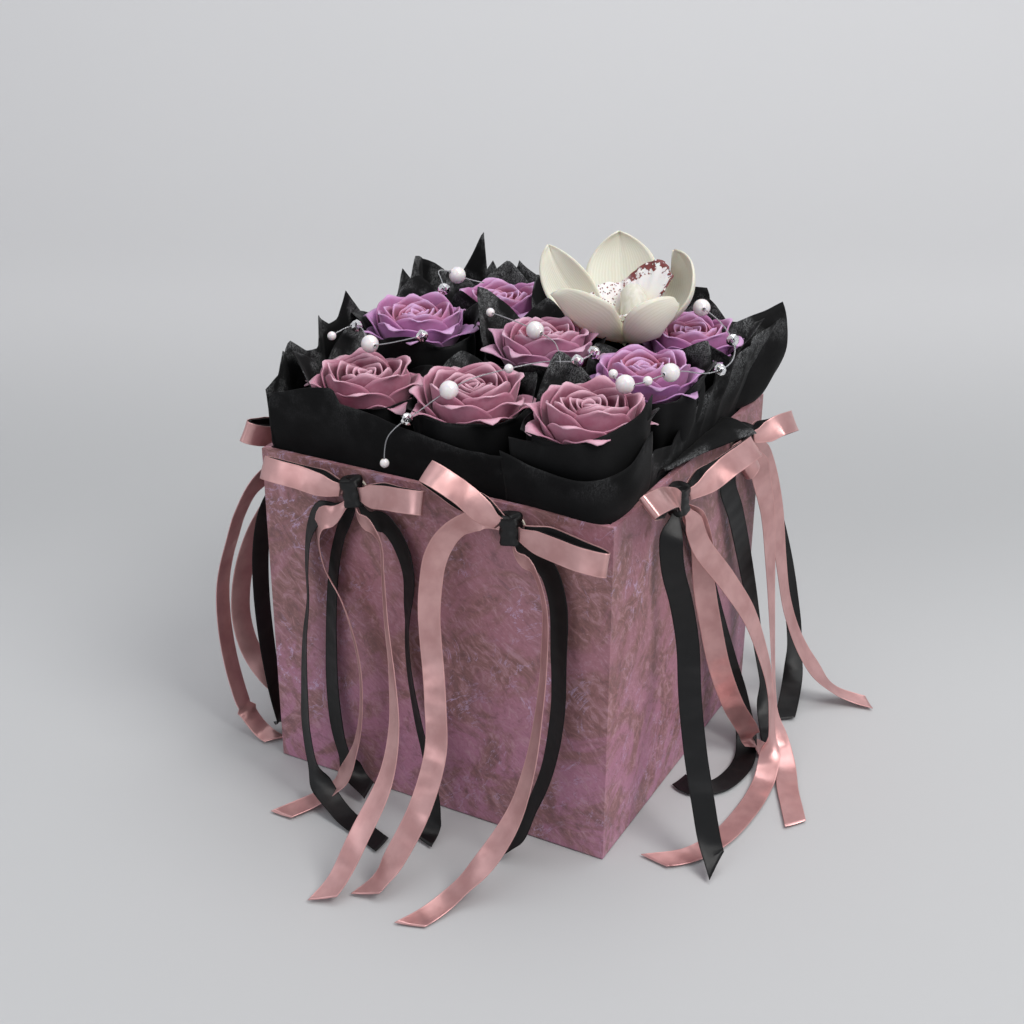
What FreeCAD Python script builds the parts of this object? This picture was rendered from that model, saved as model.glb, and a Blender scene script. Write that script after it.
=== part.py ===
import FreeCAD, Part
import math
import os

# Flower box: a square paper-covered box with foam inside, eight soap roses and one orchid, each in
# its own gathered black wrap, sheets round the rim, eight two-colour ribbon bows and bead garlands.
# Millimetres.  X along the front wall, Y from the front wall to the back, Z up.
# The origin is the middle of the underside, which stands on the table.

# ---- driving sizes -------------------------------------------------------------------------------
box_width = 170.0            # outside, both ways
box_height = 160.0
board_thickness = 2.0
paper_thickness = 0.4
rim_turn_in = 15.0           # cover paper folded over the rim and down the inside
base_turn_in = 18.0          # cover paper folded under the base
base_sheet_thickness = 0.5
base_sheet_inset = 2.0

foam_drop = 20.7             # from the rim down to the top of the foam
foam_gap = 2.0
flower_pitch = 54.0
grid_shift = 3.0             # the nine flowers stand a little to the right of the middle
pick_radius = 2.0
pick_depth = 38.0            # how far each pick goes into the foam
head_height = 24.0
calyx_height = 10.0
front_row_rise = 33.0        # tops of the heads above the rim
middle_row_rise = 43.0
back_row_rise = 39.0

wrap_gap = 0.6               # between a wrap and the middle line to the next one
wrap_sheet = 0.5
head_gap = 1.9               # between a head and its wrap
wrap_tip_rise = 6.0          # tips of a wrap over the top of its flower
collar_sheet = 0.5
collar_gap = 0.6             # between a collar and the lined wall
collar_corner_gap = 1.6      # from a collar's end to the next collar
collar_flare = 2.4           # how far a collar leans out above the rim

ribbon_width = 10.0
ribbon_thickness = 0.4
ribbon_layer_gap = 0.9       # between the rose band of an ear and the black band inside it
ear_bulge = 5.5              # half the swell of an ear
ear_gap = 1.7                # from the knot to the start of an ear
knot_width = 9.0
knot_depth = 8.0
knot_height = 10.0
knot_drop = 8.0              # from the rim down to the middle of a knot
dot_thickness = 1.0          # adhesive dot between the cover paper and a knot
dot_radius = 4.0

line_diameter = 0.5
pearl_radius = 4.0
seed_pearl_radius = 2.0
crystal_radius = 3.0

# ---- derived places ------------------------------------------------------------------------------
half = box_width / 2
board_outer = half - paper_thickness
board_inner = board_outer - board_thickness
lined = board_inner - paper_thickness
wall_foot = base_sheet_thickness + paper_thickness
base_top = wall_foot + board_thickness
foam_foot = base_top + paper_thickness
foam_top = box_height - foam_drop
wrap_radius = flower_pitch / 2 - wrap_gap
head_radius = wrap_radius - wrap_sheet - head_gap
row_rises = (front_row_rise, middle_row_rise, back_row_rise)
row_names = ("front", "middle", "back")
column_names = ("left", "centre", "right")
knot_level = box_height - knot_drop
knot_out = dot_thickness + knot_depth / 2


def vec(point):
    return FreeCAD.Vector(*point)


def block(x0, x1, y0, y1, z0, z1):
    return Part.makeBox(x1 - x0, y1 - y0, z1 - z0, vec((x0, y0, z0)))


def square(reach, z0, z1):
    """A square block centred on the box's axis."""
    return block(-reach, reach, -reach, reach, z0, z1)


def quarter_turn(shape, turns):
    """Copy of a front-wall shape carried round to another wall."""
    copy = shape.copy()
    copy.rotate(vec((0, 0, 0)), vec((0, 0, 1)), 90.0 * turns)
    return copy


def save(name, shapes):
    """Write one sub-part, as one solid or as a group of separate solids."""
    solids = []
    for shape in shapes:
        solids.extend(shape.Solids)
    shape = solids[0] if len(solids) == 1 else Part.makeCompound(solids)
    shape.exportStep("parts/%s.step" % name)
    print("%-24s %3d solids  %9.1f mm3" % (name, len(solids), sum(s.Volume for s in solids)))


# ---- box -----------------------------------------------------------------------------------------
def box_boards():
    """Four wall boards, front and back between the two side ones, and the base board inside them."""
    top = box_height - paper_thickness
    front = block(-board_inner, board_inner, -board_outer, -board_inner, wall_foot, top)
    side = block(board_inner, board_outer, -board_outer, board_outer, wall_foot, top)
    save("board_front", [front])
    save("board_back", [quarter_turn(front, 2)])
    save("board_right", [side])
    save("board_left", [quarter_turn(side, 2)])
    save("board_base", [square(board_inner, wall_foot, base_top)])


def cover_paper():
    """Printed paper round the walls, over the rim and a little way under the base."""
    skin = square(half, base_sheet_thickness, box_height)
    skin = skin.cut(square(board_outer, wall_foot, box_height - paper_thickness))
    skin = skin.cut(square(lined, box_height - 2 * paper_thickness, box_height + 1))
    skin = skin.cut(square(half - base_turn_in, 0, wall_foot + 0.1))
    turn_in = square(board_inner, box_height - rim_turn_in, box_height - paper_thickness)
    turn_in = turn_in.cut(square(lined, 0, box_height))
    return skin.fuse(turn_in).removeSplitter()


def lining():
    """Black paper on the inside of the walls, butted to the turned-in rim."""
    walls = square(board_inner, foam_foot, box_height - rim_turn_in)
    return walls.cut(square(lined, 0, box_height))


# ---- flowers -------------------------------------------------------------------------------------
def flower_places():
    """(name, x, y, top of head) of the nine places, row by row from the front left."""
    for row in range(3):
        for column in range(3):
            name = "%s_%s" % (row_names[row], column_names[column])
            x = (column - 1) * flower_pitch + grid_shift
            yield name, x, (row - 1) * flower_pitch, box_height + row_rises[row]


def turned(profile, x, y):
    """Solid of revolution about the vertical through x, y from (radius, height) points."""
    points = [vec((x + r, y, z)) for r, z in profile]
    face = Part.Face(Part.makePolygon(points + points[:1]))
    return face.revolve(vec((x, y, 0)), vec((0, 0, 1)), 360.0)


def rose_head(x, y, top):
    """Stepped dome: an outer ring of open petals, two inner rings and the closed heart."""
    foot = top - head_height
    r = head_radius
    profile = [
        (0, foot), (0.38 * r, foot), (0.83 * r, top - 13), (r, top - 8),
        (0.92 * r, top - 5), (0.71 * r, top - 7), (0.63 * r, top - 3), (0.42 * r, top - 4.5),
        (0.33 * r, top - 1), (0.17 * r, top - 2), (0.12 * r, top), (0, top),
    ]
    return turned(profile, x, y)


def calyx(x, y, top):
    """Green cup under a head, its socket holding the pick."""
    rim = top - head_height
    foot = rim - calyx_height
    return turned([(0, foot), (2 * pick_radius, foot), (0.35 * head_radius, rim), (0, rim)], x, y)


def pick(x, y, top):
    """Straight pick from the calyx down into the foam."""
    length = top - (foam_top - pick_depth)
    return Part.makeCylinder(pick_radius, length, vec((x, y, foam_top - pick_depth)))


def flower_wrap(x, y, top):
    """Gathered cup of sheet round one flower, its four corners standing up as points."""
    tip = top + wrap_tip_rise
    r = wrap_radius - wrap_sheet
    inner = [
        (1.5 * pick_radius, foam_top + 2), (0.21 * r, top - 37), (0.48 * r, top - 25),
        (0.79 * r, top - 17), (0.97 * r, top - 7), (r, tip),
    ]
    outer = [(r + wrap_sheet, z) for r, z in reversed(inner)]
    cup = turned(inner + outer, x, y)
    valley = top - 12
    rise = tip - valley + 2
    spread = wrap_radius * math.sin(math.radians(45)) * rise / (rise - 2)
    for quarter in range(4):
        corners = [(0, valley), (spread, valley + rise), (-spread, valley + rise)]
        points = [vec((x + wrap_radius * 0.4, y + a, z)) for a, z in corners]
        notch = Part.Face(Part.makePolygon(points + points[:1])).extrude(vec((wrap_radius, 0, 0)))
        notch.rotate(vec((x, y, 0)), vec((0, 0, 1)), 90.0 * quarter)
        cup = cup.cut(notch)
    return cup


# ---- orchid --------------------------------------------------------------------------------------
orchid_lean = (20.0, -8.0)       # from its place in the grid, towards the right and the front
orchid_rise = 45.0                # foot of the flower above the rim
orchid_base = box_height + orchid_rise
tepal_length = 40.0
tepal_width = 23.0
tepal_thickness = 1.2
tepals = (                       # (direction round the flower, rise above level), degrees
    (112, 50), (178, 36), (40, 40), (-112, 22), (-36, 26),
)
lip_turn = -40.0                 # direction that the back of the lip faces, degrees


def orchid_centre():
    places = {name: (x, y) for name, x, y, top in flower_places()}
    x, y = places["back_centre"]
    return x + orchid_lean[0], y + orchid_lean[1]


def tepal(direction, rise):
    """Pointed flat blade, narrow at its foot and widest past the middle."""
    outline = [(6, 1.8), (14, 4.2), (26, tepal_width / 2), (35, tepal_width / 3), (tepal_length, 0.6)]
    points = [vec((a, b, 0)) for a, b in outline]
    points += [vec((a, -b, 0)) for a, b in reversed(outline)]
    blade = Part.Face(Part.makePolygon(points + points[:1])).extrude(vec((0, 0, tepal_thickness)))
    blade.rotate(vec((0, 0, 0)), vec((0, 1, 0)), -rise)
    blade.rotate(vec((0, 0, 0)), vec((0, 0, 1)), direction)
    x, y = orchid_centre()
    blade.translate(vec((x, y, orchid_base)))
    return blade


def orchid_lip():
    """Half of a thin flaring cup, open towards the column."""
    wall = 1.0
    body = Part.makeCone(5.0, 11.0, 15.0, vec((0, 0, 0)), vec((0, 0, 1)), 180.0)
    hollow = Part.makeCone(5.0 - wall, 11.0 - wall, 15.0, vec((0, 0, 0)), vec((0, 0, 1)), 180.0)
    shell = body.cut(hollow)
    shell.rotate(vec((0, 0, 0)), vec((0, 0, 1)), lip_turn - 90.0)
    x, y = orchid_centre()
    shell.translate(vec((x, y, orchid_base + 6.0)))
    return shell


def orchid_column():
    """Blunt rod in the throat, standing on the stalk that comes up from the pick."""
    x, y = orchid_centre()
    rod = Part.makeCylinder(2.4, 15.0, vec((x, y, orchid_base + 3.0)))
    return rod.fuse(Part.makeSphere(3.0, vec((x, y, orchid_base + 18.0)))).removeSplitter()


def orchid_stalk(x, y):
    """Upright pick with a slanting stalk to the foot of the flower."""
    elbow = vec((x, y, orchid_base - 22.0))
    top_x, top_y = orchid_centre()
    top = vec((top_x, top_y, orchid_base - 1.2))
    foot = foam_top - pick_depth
    upright = Part.makeCylinder(pick_radius, elbow.z - foot, vec((x, y, foot)))
    slant = Part.makeCylinder(pick_radius, (top - elbow).Length, elbow, top - elbow)
    joint = Part.makeSphere(pick_radius, elbow)
    return upright.fuse(joint).fuse(slant).removeSplitter()


# ---- collars -------------------------------------------------------------------------------------
def collar(outline):
    """Sheet standing inside a wall and leaning out above the rim, for the front wall.

    outline is its top edge: (share of the way from the middle to the corner, height over the rim)."""
    inner = lined - collar_gap
    reach = inner - collar_corner_gap
    foot = box_height - rim_turn_in - 4.0
    sections = []
    for share, rise in outline:
        x = share * reach
        lean = collar_flare * rise / 25.0
        ridge = [(x, -inner, foot), (x, -inner, box_height), (x, -inner - lean, box_height + rise)]
        sections.append(ridge)
    panels = []
    for left, right in zip(sections, sections[1:]):
        panels.append(slab(left[0], right[0], right[1], left[1], collar_sheet))
        panels.append(slab(left[1], right[1], right[2], left[2], collar_sheet))
    joined = panels[0]
    for panel in panels[1:]:
        joined = joined.fuse(panel)
    return joined.removeSplitter()


def slab(a, b, c, d, thickness):
    """Four-cornered plate with its second face moved inwards, along Y, by the thickness."""
    corners = [vec(p) for p in (a, b, c, d)]
    shifted = [p + vec((0, thickness, 0)) for p in corners]
    faces = triangles(corners) + triangles(shifted)
    for i in range(4):
        j = (i + 1) % 4
        side = [corners[i], corners[j], shifted[j], shifted[i]]
        faces.append(Part.Face(Part.makePolygon(side + side[:1])))
    return Part.makeSolid(Part.makeShell(faces))


def triangles(corners):
    a, b, c, d = corners
    return [Part.Face(Part.makePolygon(list(t) + [t[0]])) for t in ((a, b, c), (a, c, d))]


front_edge = ((-1, 26), (-0.58, 27), (-0.25, 24), (0.12, 20), (0.5, 17), (0.72, 12), (1, 8))
side_edge = ((-1, 8), (-0.5, 10), (0, 20), (0.44, 32), (0.78, 44), (1, 42))
back_edge = ((-1, 40), (-0.5, 26), (0, 24), (0.56, 22), (1, 38))
flap_corners = ((-30, 0), (42, 0), (34, 17))     # along the right wall, out from it
flap_level = box_height + 1.2
flap_gap = 0.3                                   # from the collar that it is folded out of


def rim_flap():
    """Corner of a sheet folded out level over the right rim."""
    start = lined + flap_gap
    points = [vec((start + out, along, flap_level)) for along, out in flap_corners]
    return Part.Face(Part.makePolygon(points + points[:1])).extrude(vec((0, 0, collar_sheet)))


# ---- ribbons -------------------------------------------------------------------------------------
def unit(v):
    return v / v.Length


def strip(points, widths):
    """Thin ribbon solid along points, its width in the given direction at each point."""
    rows = [[], [], [], []]
    count = len(points)
    for i, point in enumerate(points):
        ahead = points[min(i + 1, count - 1)]
        behind = points[max(i - 1, 0)]
        along = unit(ahead - behind)
        across = unit(widths[i] - along * widths[i].dot(along))
        normal = along.cross(across)
        for row, (a, n) in zip(rows, ((-1, -1), (1, -1), (1, 1), (-1, 1))):
            edge = point + across * (a * ribbon_width / 2)
            edge.z = max(edge.z, edge_lift)
            row.append(edge + normal * (n * ribbon_thickness / 2))
    stations = [0.0]
    for before, after in zip(points, points[1:]):
        stations.append(stations[-1] + (after - before).Length)
    curves = []
    for row in rows:
        curve = Part.BSplineCurve()
        curve.interpolate(Points=row, Parameters=stations)
        curves.append(curve)
    faces = [curves[i].makeRuledSurface(curves[(i + 1) % 4]).toShape() for i in range(4)]
    for end in (0, -1):
        ring = [row[end] for row in rows]
        faces.append(Part.Face(Part.makePolygon(ring + ring[:1])))
    shell = Part.makeShell(faces)
    shell.sewShape()
    solid = Part.makeSolid(shell)
    if solid.Volume < 0:
        solid.reverse()
    return solid


def ear(knot, tip, outward, bulge, inset):
    """One ear of a bow: out from the knot, round the tip and back, standing on edge."""
    axis = tip - knot
    reach = axis.Length - inset
    axis = unit(axis)
    swell = unit(outward - axis * outward.dot(axis))
    across = axis.cross(swell)
    shape = ((0.14, 0.42), (0.34, 0.82), (0.60, 1.0), (0.84, 0.84), (0.97, 0.42), (1.0, 0.0))
    path = list(shape) + [(s, -b) for s, b in reversed(shape[:-1])]
    start = knot_width / 2 + ear_gap + inset
    points = []
    for s, b in path:
        along = start + (reach - start) * (s - 0.14) / 0.86
        points.append(knot + axis * along + swell * (b * (bulge - inset)))
    return strip(points, [across] * len(points))


def tail(points, outward):
    """Hanging ribbon end: it faces outwards on its way down and rolls flat as it meets the table."""
    up = vec((0, 0, 1))
    widths = []
    for i, point in enumerate(points):
        along = unit(points[min(i + 1, len(points) - 1)] - points[max(i - 1, 0)])
        steep = abs(along.z)
        low = min(1.0, max(0.0, (roll_start - point.z) / (roll_start - roll_end))) * (1 - steep)
        facing = outward * (steep + 0.1) * (1 - low)
        facing += up * (max(0.0, along.dot(outward)) + 1.5 * low)
        across = unit(along.cross(facing))
        if widths and across.dot(widths[-1]) < 0:
            across = across * -1
        widths.append(across)
    return strip(points, widths)


roll_start = 18.0                # heights between which a tail turns from hanging to lying
roll_end = 4.0
edge_lift = 1.0                  # lowest the edge of a ribbon comes
tail_knot_level = 152.0          # height of the knot that the tails' heights are for

# Bows of the front wall: place of the knot along the wall, tips of the two ears (along the wall from
# the knot, out from the wall, up from the knot), and tails (along the wall, out from it, height).
# Heights of tails are for a knot 152 above the table and stretch with it.
front_bows = {
    "left": {
        "knot": -34,
        "ears": ((-46, 13, 3), (39, 14, 6)),
        "rose": (
            ((-42, 9, 141), (-48, 9.5, 138), (-51, 9, 129), (-48, 9, 114), (-39, 10, 100),
             (-32, 12, 84), (-28, 14, 66), (-29, 16, 39), (-34, 19, 20), (-41, 22, 8),
             (-48, 28, 3), (-53, 36, 1.8), (-57, 44, 1.4)),
            ((-29, 9, 143), (-22, 10, 140), (-17, 11, 134), (-15, 13, 122), (-11, 18, 103),
             (-3, 27, 82), (3, 36, 62), (5, 47, 44), (1, 62, 24), (-3, 75, 7), (-6, 86, 1.4)),
        ),
        "black": (
            ((-43, 6, 141), (-51, 6, 139), (-57, 6, 129), (-59, 7, 112), (-58, 9, 95),
             (-58, 13, 78), (-57, 17, 51), (-55, 20, 34), (-47, 25, 15), (-30, 30, 3),
             (-16, 34, 1.4), (-2, 39, 1.4)),
            ((-35, 3, 144), (-41, 3, 134), (-46, 3, 118), (-49, 3, 98), (-50, 4, 76), (-50, 5, 47),
             (-46, 7, 24), (-38, 9, 10), (-27, 11, 3.5)),
            ((-27, 4, 141), (-19, 4, 140), (-12, 4, 132), (-8, 4, 118), (-9, 4.5, 98), (-8, 6, 76),
             (-2, 9, 50), (5, 12, 29), (9, 16, 13), (10, 21, 4), (11, 30, 1.4)),
        ),
    },
    "right": {
        "knot": 42,
        "ears": ((-26, 18, 17), (44, 15, 3)),
        "rose": (
            ((35, 9, 141), (24, 10, 141), (13, 12, 138), (8, 14, 127), (10, 17, 110), (16, 23, 93),
             (20, 30, 76), (24, 37, 59), (23, 48, 38), (18, 58, 20), (12, 66, 6), (7, 75, 1.4)),
            ((46, 8, 143), (54, 9, 139), (60, 10, 125), (62, 13, 102), (63, 19, 79), (63, 27, 57),
             (60, 35, 37), (52, 45, 18), (43, 56, 5), (38, 68, 1.4), (33, 81, 1.4)),
        ),
        "black": (
            ((47, 3.5, 142), (57, 3.5, 138), (63, 4, 124), (65, 6, 100), (66, 8, 74), (63, 11, 46),
             (57, 14, 26), (50, 17, 9), (42, 21, 1.4)),
        ),
    },
}

# Bows of the side walls.
side_bows = {
    "left": {
        "knot": -30,
        "ears": ((-50, 12, 19), (47, 21, 10)),
        "rose": (
            ((-26, 9, 144), (-14, 10, 124), (3, 17, 101), (12, 25, 82), (19, 30, 62), (22, 34, 45),
             (21, 37, 28), (16, 40, 13), (5, 42, 3), (-8, 43, 1.4), (-24, 43, 1.4), (-48, 40, 1.4),
             (-66, 32, 1.4), (-79, 17, 1.4)),
            ((-22, 6.5, 144), (-6, 7, 122), (-4, 9, 99), (-1, 12, 79), (4, 16, 55), (13, 21, 31),
             (22, 26, 14), (28, 32, 5), (28, 40, 2), (23, 49, 1.4)),
        ),
        "black": (
            ((-37, 6, 144), (-42, 7, 138), (-43, 9, 125), (-39, 12, 108), (-39, 16, 89),
             (-46, 21, 69), (-54, 28, 47), (-62, 36, 28), (-67, 42, 13), (-72, 48, 4)),
            ((-22, 3, 143), (0, 3, 118), (14, 4, 90), (25, 7, 62), (32, 11, 40), (36, 16, 21),
             (33, 21, 9), (25, 25, 3.5), (14, 28, 1.8), (1, 28, 1.4), (-12, 24, 1.4),
             (-19, 14, 1.4), (-14, 5, 1.4)),
        ),
    },
    "right": {
        "knot": 46,
        "ears": ((-22, 15, -6), (30, 19, 1)),
        "rose": (
            ((50, 10, 143), (58, 11, 129), (66, 13, 108), (66, 16, 84), (60, 21, 58), (46, 29, 32),
             (32, 37, 14), (18, 47, 3), (2, 54, 1.4), (-12, 61, 1.4), (-24, 67, 1.4)),
            ((56, 9, 144), (68, 10, 131), (79, 13, 104), (81, 17, 76), (78, 23, 54), (78, 31, 35),
             (83, 40, 18), (88, 49, 7), (92, 58, 2.8), (94, 68, 1.4)),
        ),
        "black": (
            ((40, 3, 143), (34, 3, 134), (42, 5, 116), (56, 7, 84), (64, 10, 56), (64, 15, 32),
             (57, 22, 13), (46, 29, 3), (34, 35, 1.4)),
            ((58, 4, 143), (78, 5, 118), (94, 8, 92), (103, 12, 66), (105, 16, 46), (101, 21, 28),
             (86, 27, 12), (68, 31, 3), (56, 33, 1.4)),
        ),
    },
}

# The bow nearest the front on the left wall hangs in its own way.
left_front_bow = {
    "knot": 46,
    "ears": ((33, 14, 11), (-26, 17, 4)),
    "rose": (
        ((51, 10, 141), (61, 13, 138), (70, 18, 131), (74, 24, 118), (75, 29, 104), (75, 34, 90),
         (75, 37, 77), (75, 38, 61), (75, 37, 44), (75, 34, 27), (76, 28, 12), (77, 18, 3),
         (79, 7, 1.4)),
        ((42, 9, 143), (51, 12, 133), (60, 16, 120), (64, 23, 106), (66, 29, 90), (67, 33, 72),
         (68, 33, 57), (69, 28, 42), (69, 18, 30), (62, 11, 18), (50, 11, 6), (38, 13, 1.4)),
    ),
    "black": (
        ((53, 4, 141), (64, 5, 135), (72, 9, 124), (74, 13, 105), (75, 14, 82), (75, 13, 54),
         (75, 10, 28), (72, 9, 10), (64, 15, 2)),
    ),
}


def all_bows():
    """(name, quarter turns from the front wall, bow) for the eight bows."""
    yield "front_left", 0, front_bows["left"]
    yield "front_right", 0, front_bows["right"]
    yield "right_front", 1, side_bows["left"]
    yield "right_back", 1, side_bows["right"]
    yield "back_right", 2, front_bows["left"]
    yield "back_left", 2, front_bows["right"]
    yield "left_back", 3, side_bows["left"]
    yield "left_front", 3, left_front_bow


def on_wall(turns, along, out, up):
    """Point of a wall's own frame, out from the face of the cover paper."""
    x, y = along, -(half + out)
    for turn in range(turns):
        x, y = -y, x
    return vec((x, y, up))


def outward_of(turns):
    return unit(on_wall(turns, 0, 0, 0))


def knot_place(turns, bow):
    return on_wall(turns, bow["knot"], knot_out, knot_level)


def bow_ribbons(turns, bow):
    """Rose ears and tails, and the black ones inside and behind them."""
    outward = outward_of(turns)
    knot = knot_place(turns, bow)
    tips = [on_wall(turns, bow["knot"] + a, out, knot_level + up) for a, out, up in bow["ears"]]
    inner = ribbon_thickness + ribbon_layer_gap
    rose = [ear(knot, tip, outward, ear_bulge, 0.0) for tip in tips]
    black = [ear(knot, tip, outward, ear_bulge, inner) for tip in tips]
    stretch = knot_level / tail_knot_level
    for ribbons, colour in ((rose, "rose"), (black, "black")):
        for route in bow[colour]:
            points = [on_wall(turns, along, out, up * stretch) for along, out, up in route]
            ribbons.append(tail(points, outward))
    return rose, black


def knot_band(turns, bow):
    """Short black band wound round the middle of a bow, flattened against its adhesive dot."""
    core = Part.makeCylinder(knot_depth / 2, knot_height, vec((0, 0, -knot_height / 2)))
    stretch = FreeCAD.Matrix()
    stretch.A11 = knot_width / knot_depth
    core = quarter_turn(core.transformGeometry(stretch), turns)
    core.translate(knot_place(turns, bow))
    return core


def adhesive_dot(turns, bow):
    outward = outward_of(turns)
    centre = on_wall(turns, bow["knot"], 0, knot_level)
    return Part.makeCylinder(dot_radius, dot_thickness, centre, outward)


# ---- bead garlands -------------------------------------------------------------------------------
# Each garland is one clear line: its route, and its beads as (kind, how far along the route's points).
garlands = {
    "left": {
        "route": ((-75, -43, 200.5), (-73, -34, 203), (-66, -29, 205), (-59, -35, 204),
                  (-54, -44, 203), (-45, -41, 205), (-38, -31, 206)),
        "pearls": (("seed", 0, 0.1), ("pearl", 3, 0.6)),
        "crystals": ((1, 0.5), (5, 0.9)),
    },
    "front": {
        "route": ((-19, -88, 167), (-20, -88.5, 177), (-17, -87, 187), (-12, -81, 192),
                  (-6, -75, 199), (3, -68, 204), (12, -55, 205), (19, -42, 205),
                  (29, -34, 206), (38, -34, 207), (45, -31, 208), (46, -22, 209)),
        "pearls": (("seed", 0, 0.1), ("pearl", 4, 0.8), ("seed", 6, 0.6)),
        "crystals": ((2, 0.75), (9, 0.4), (10, 0.6)),
    },
    "back_left": {
        "route": ((-42, 2, 214), (-47, 8, 217), (-54, 16, 221), (-57, 26, 221), (-52, 33, 217),
                  (-44, 38, 216)),
        "pearls": (("pearl", 3, 0.8),),
        "crystals": ((0, 0.5),),
    },
    "centre": {
        "route": ((-20, 3, 211), (-9, -4, 212), (4, -9, 212), (16, -14, 211), (28, -24, 212),
                  (37, -36, 210)),
        "pearls": (("seed", 0, 0.1), ("pearl", 2, 0.9)),
        "crystals": (),
    },
    "right": {
        "route": ((60, -36, 208), (65, -44, 207), (73, -43, 206.5), (79, -31, 208),
                  (83, -20, 208), (91, -9, 204), (97, 3, 204), (95, 14, 207),
                  (87, 25, 209), (75, 38, 211), (62, 55, 208)),
        "pearls": (("seed", 0, 0.3), ("pearl", 1, 0.6), ("seed", 2, 0.7), ("pearl", 3, 0.7),
                   ("pearl", 9, 0.9)),
        "crystals": ((5, 0.4), (7, 0.7)),
    },
}


def line_path(name, route):
    """Straight runs joined by tangent arcs, each as large as its two runs allow."""
    points = [vec(p) for p in route]
    edges = []
    start = points[0]
    radii = []
    for before, corner, after in zip(points, points[1:], points[2:]):
        run_in = corner - before
        run_out = after - corner
        turn = run_in.getAngle(run_out)
        back = 0.45 * min(run_in.Length, run_out.Length)
        radii.append(back / math.tan(turn / 2))
        a = corner - unit(run_in) * back
        b = corner + unit(run_out) * back
        towards = unit(unit(run_out) - unit(run_in))
        middle = corner + towards * arc_offset(radii[-1], turn)
        edges.append(Part.LineSegment(start, a).toShape())
        edges.append(Part.Arc(a, middle, b).toShape())
        start = b
    edges.append(Part.LineSegment(start, points[-1]).toShape())
    print("garland_%s bend radii: %s" % (name, " ".join("%.1f" % r for r in radii)))
    return Part.Wire(edges)


def arc_offset(radius, turn):
    """From a corner to the middle of the arc that rounds it."""
    return radius / math.cos(turn / 2) - radius


def line_tube(path):
    first = path.Edges[0]
    start = first.valueAt(first.FirstParameter)
    direction = first.tangentAt(first.FirstParameter)
    ring = Part.Wire([Part.makeCircle(line_diameter / 2, start, direction)])
    return path.makePipeShell([ring], True, False)


def bead_place(path, leg, share):
    """Point and direction on the line: a share of the way along one leg's straight part."""
    edge = path.Edges[2 * leg]
    span = edge.LastParameter - edge.FirstParameter
    at = edge.FirstParameter + span * share
    return edge.valueAt(at), edge.tangentAt(at)


def crystal(centre, direction):
    """Double cone bead with flattened ends."""
    table = crystal_radius * 0.45
    depth = crystal_radius * 0.85
    up = Part.makeCone(crystal_radius, table, depth, centre, direction)
    down = Part.makeCone(crystal_radius, table, depth, centre, direction * -1)
    return up.fuse(down)


# ---- build ---------------------------------------------------------------------------------------
os.makedirs("parts", exist_ok=True)

box_boards()
save("base_sheet", [square(half - base_sheet_inset, 0, base_sheet_thickness)])
save("cover_paper", [cover_paper()])
save("lining_paper", [lining()])
save("lining_floor", [square(board_inner, base_top, foam_foot)])

foam = square(lined - foam_gap, foam_foot, foam_top)
picks = []
calyxes = []
wraps = []
for name, x, y, top in flower_places():
    rose = name != "back_centre"
    if rose:
        head_foot = top - head_height
        save("rose_" + name, [rose_head(x, y, top)])
        cup = calyx(x, y, top)
        stem = pick(x, y, head_foot - 3.0)
        calyxes.append(cup.cut(stem))
    else:
        stem = orchid_stalk(x, y)
    picks.append(stem)
    wraps.append(flower_wrap(x, y, top))
    foam = foam.cut(stem)
save("foam_block", [foam])
save("stem_picks", picks)
save("calyx_cups", calyxes)
save("flower_wraps", wraps)

save("orchid_tepals", [tepal(direction, rise) for direction, rise in tepals])
save("orchid_lip", [orchid_lip()])
save("orchid_column", [orchid_column()])

save("collar_front", [collar(front_edge)])
save("collar_right", [quarter_turn(collar(side_edge), 1), rim_flap()])
save("collar_back", [quarter_turn(collar(back_edge), 2)])
save("collar_left", [quarter_turn(collar(back_edge), 3)])

knots = []
dots = []
for name, turns, bow in all_bows():
    rose, black = bow_ribbons(turns, bow)
    save("bow_%s_rose" % name, rose)
    save("bow_%s_black" % name, black)
    knots.append(knot_band(turns, bow))
    dots.append(adhesive_dot(turns, bow))
save("bow_knots", knots)
save("adhesive_dots", dots)

for name, garland in garlands.items():
    path = line_path(name, garland["route"])
    tube = line_tube(path)
    section = math.pi * line_diameter ** 2 / 4
    print("garland_%s length %.1f, volume %.2f, section x length %.2f"
          % (name, path.Length, tube.Volume, section * path.Length))
    save("garland_%s_line" % name, [tube])
    radii = {"pearl": pearl_radius, "seed": seed_pearl_radius}
    beads = []
    for kind, leg, share in garland["pearls"]:
        centre, direction = bead_place(path, leg, share)
        beads.append(Part.makeSphere(radii[kind], centre).cut(tube))
    save("garland_%s_pearls" % name, beads)
    if garland["crystals"]:
        stones = [crystal(*bead_place(path, leg, share)) for leg, share in garland["crystals"]]
        save("garland_%s_crystals" % name, [stone.cut(tube) for stone in stones])
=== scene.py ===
import math

import bpy
import numpy as np
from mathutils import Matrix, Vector, noise


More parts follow.
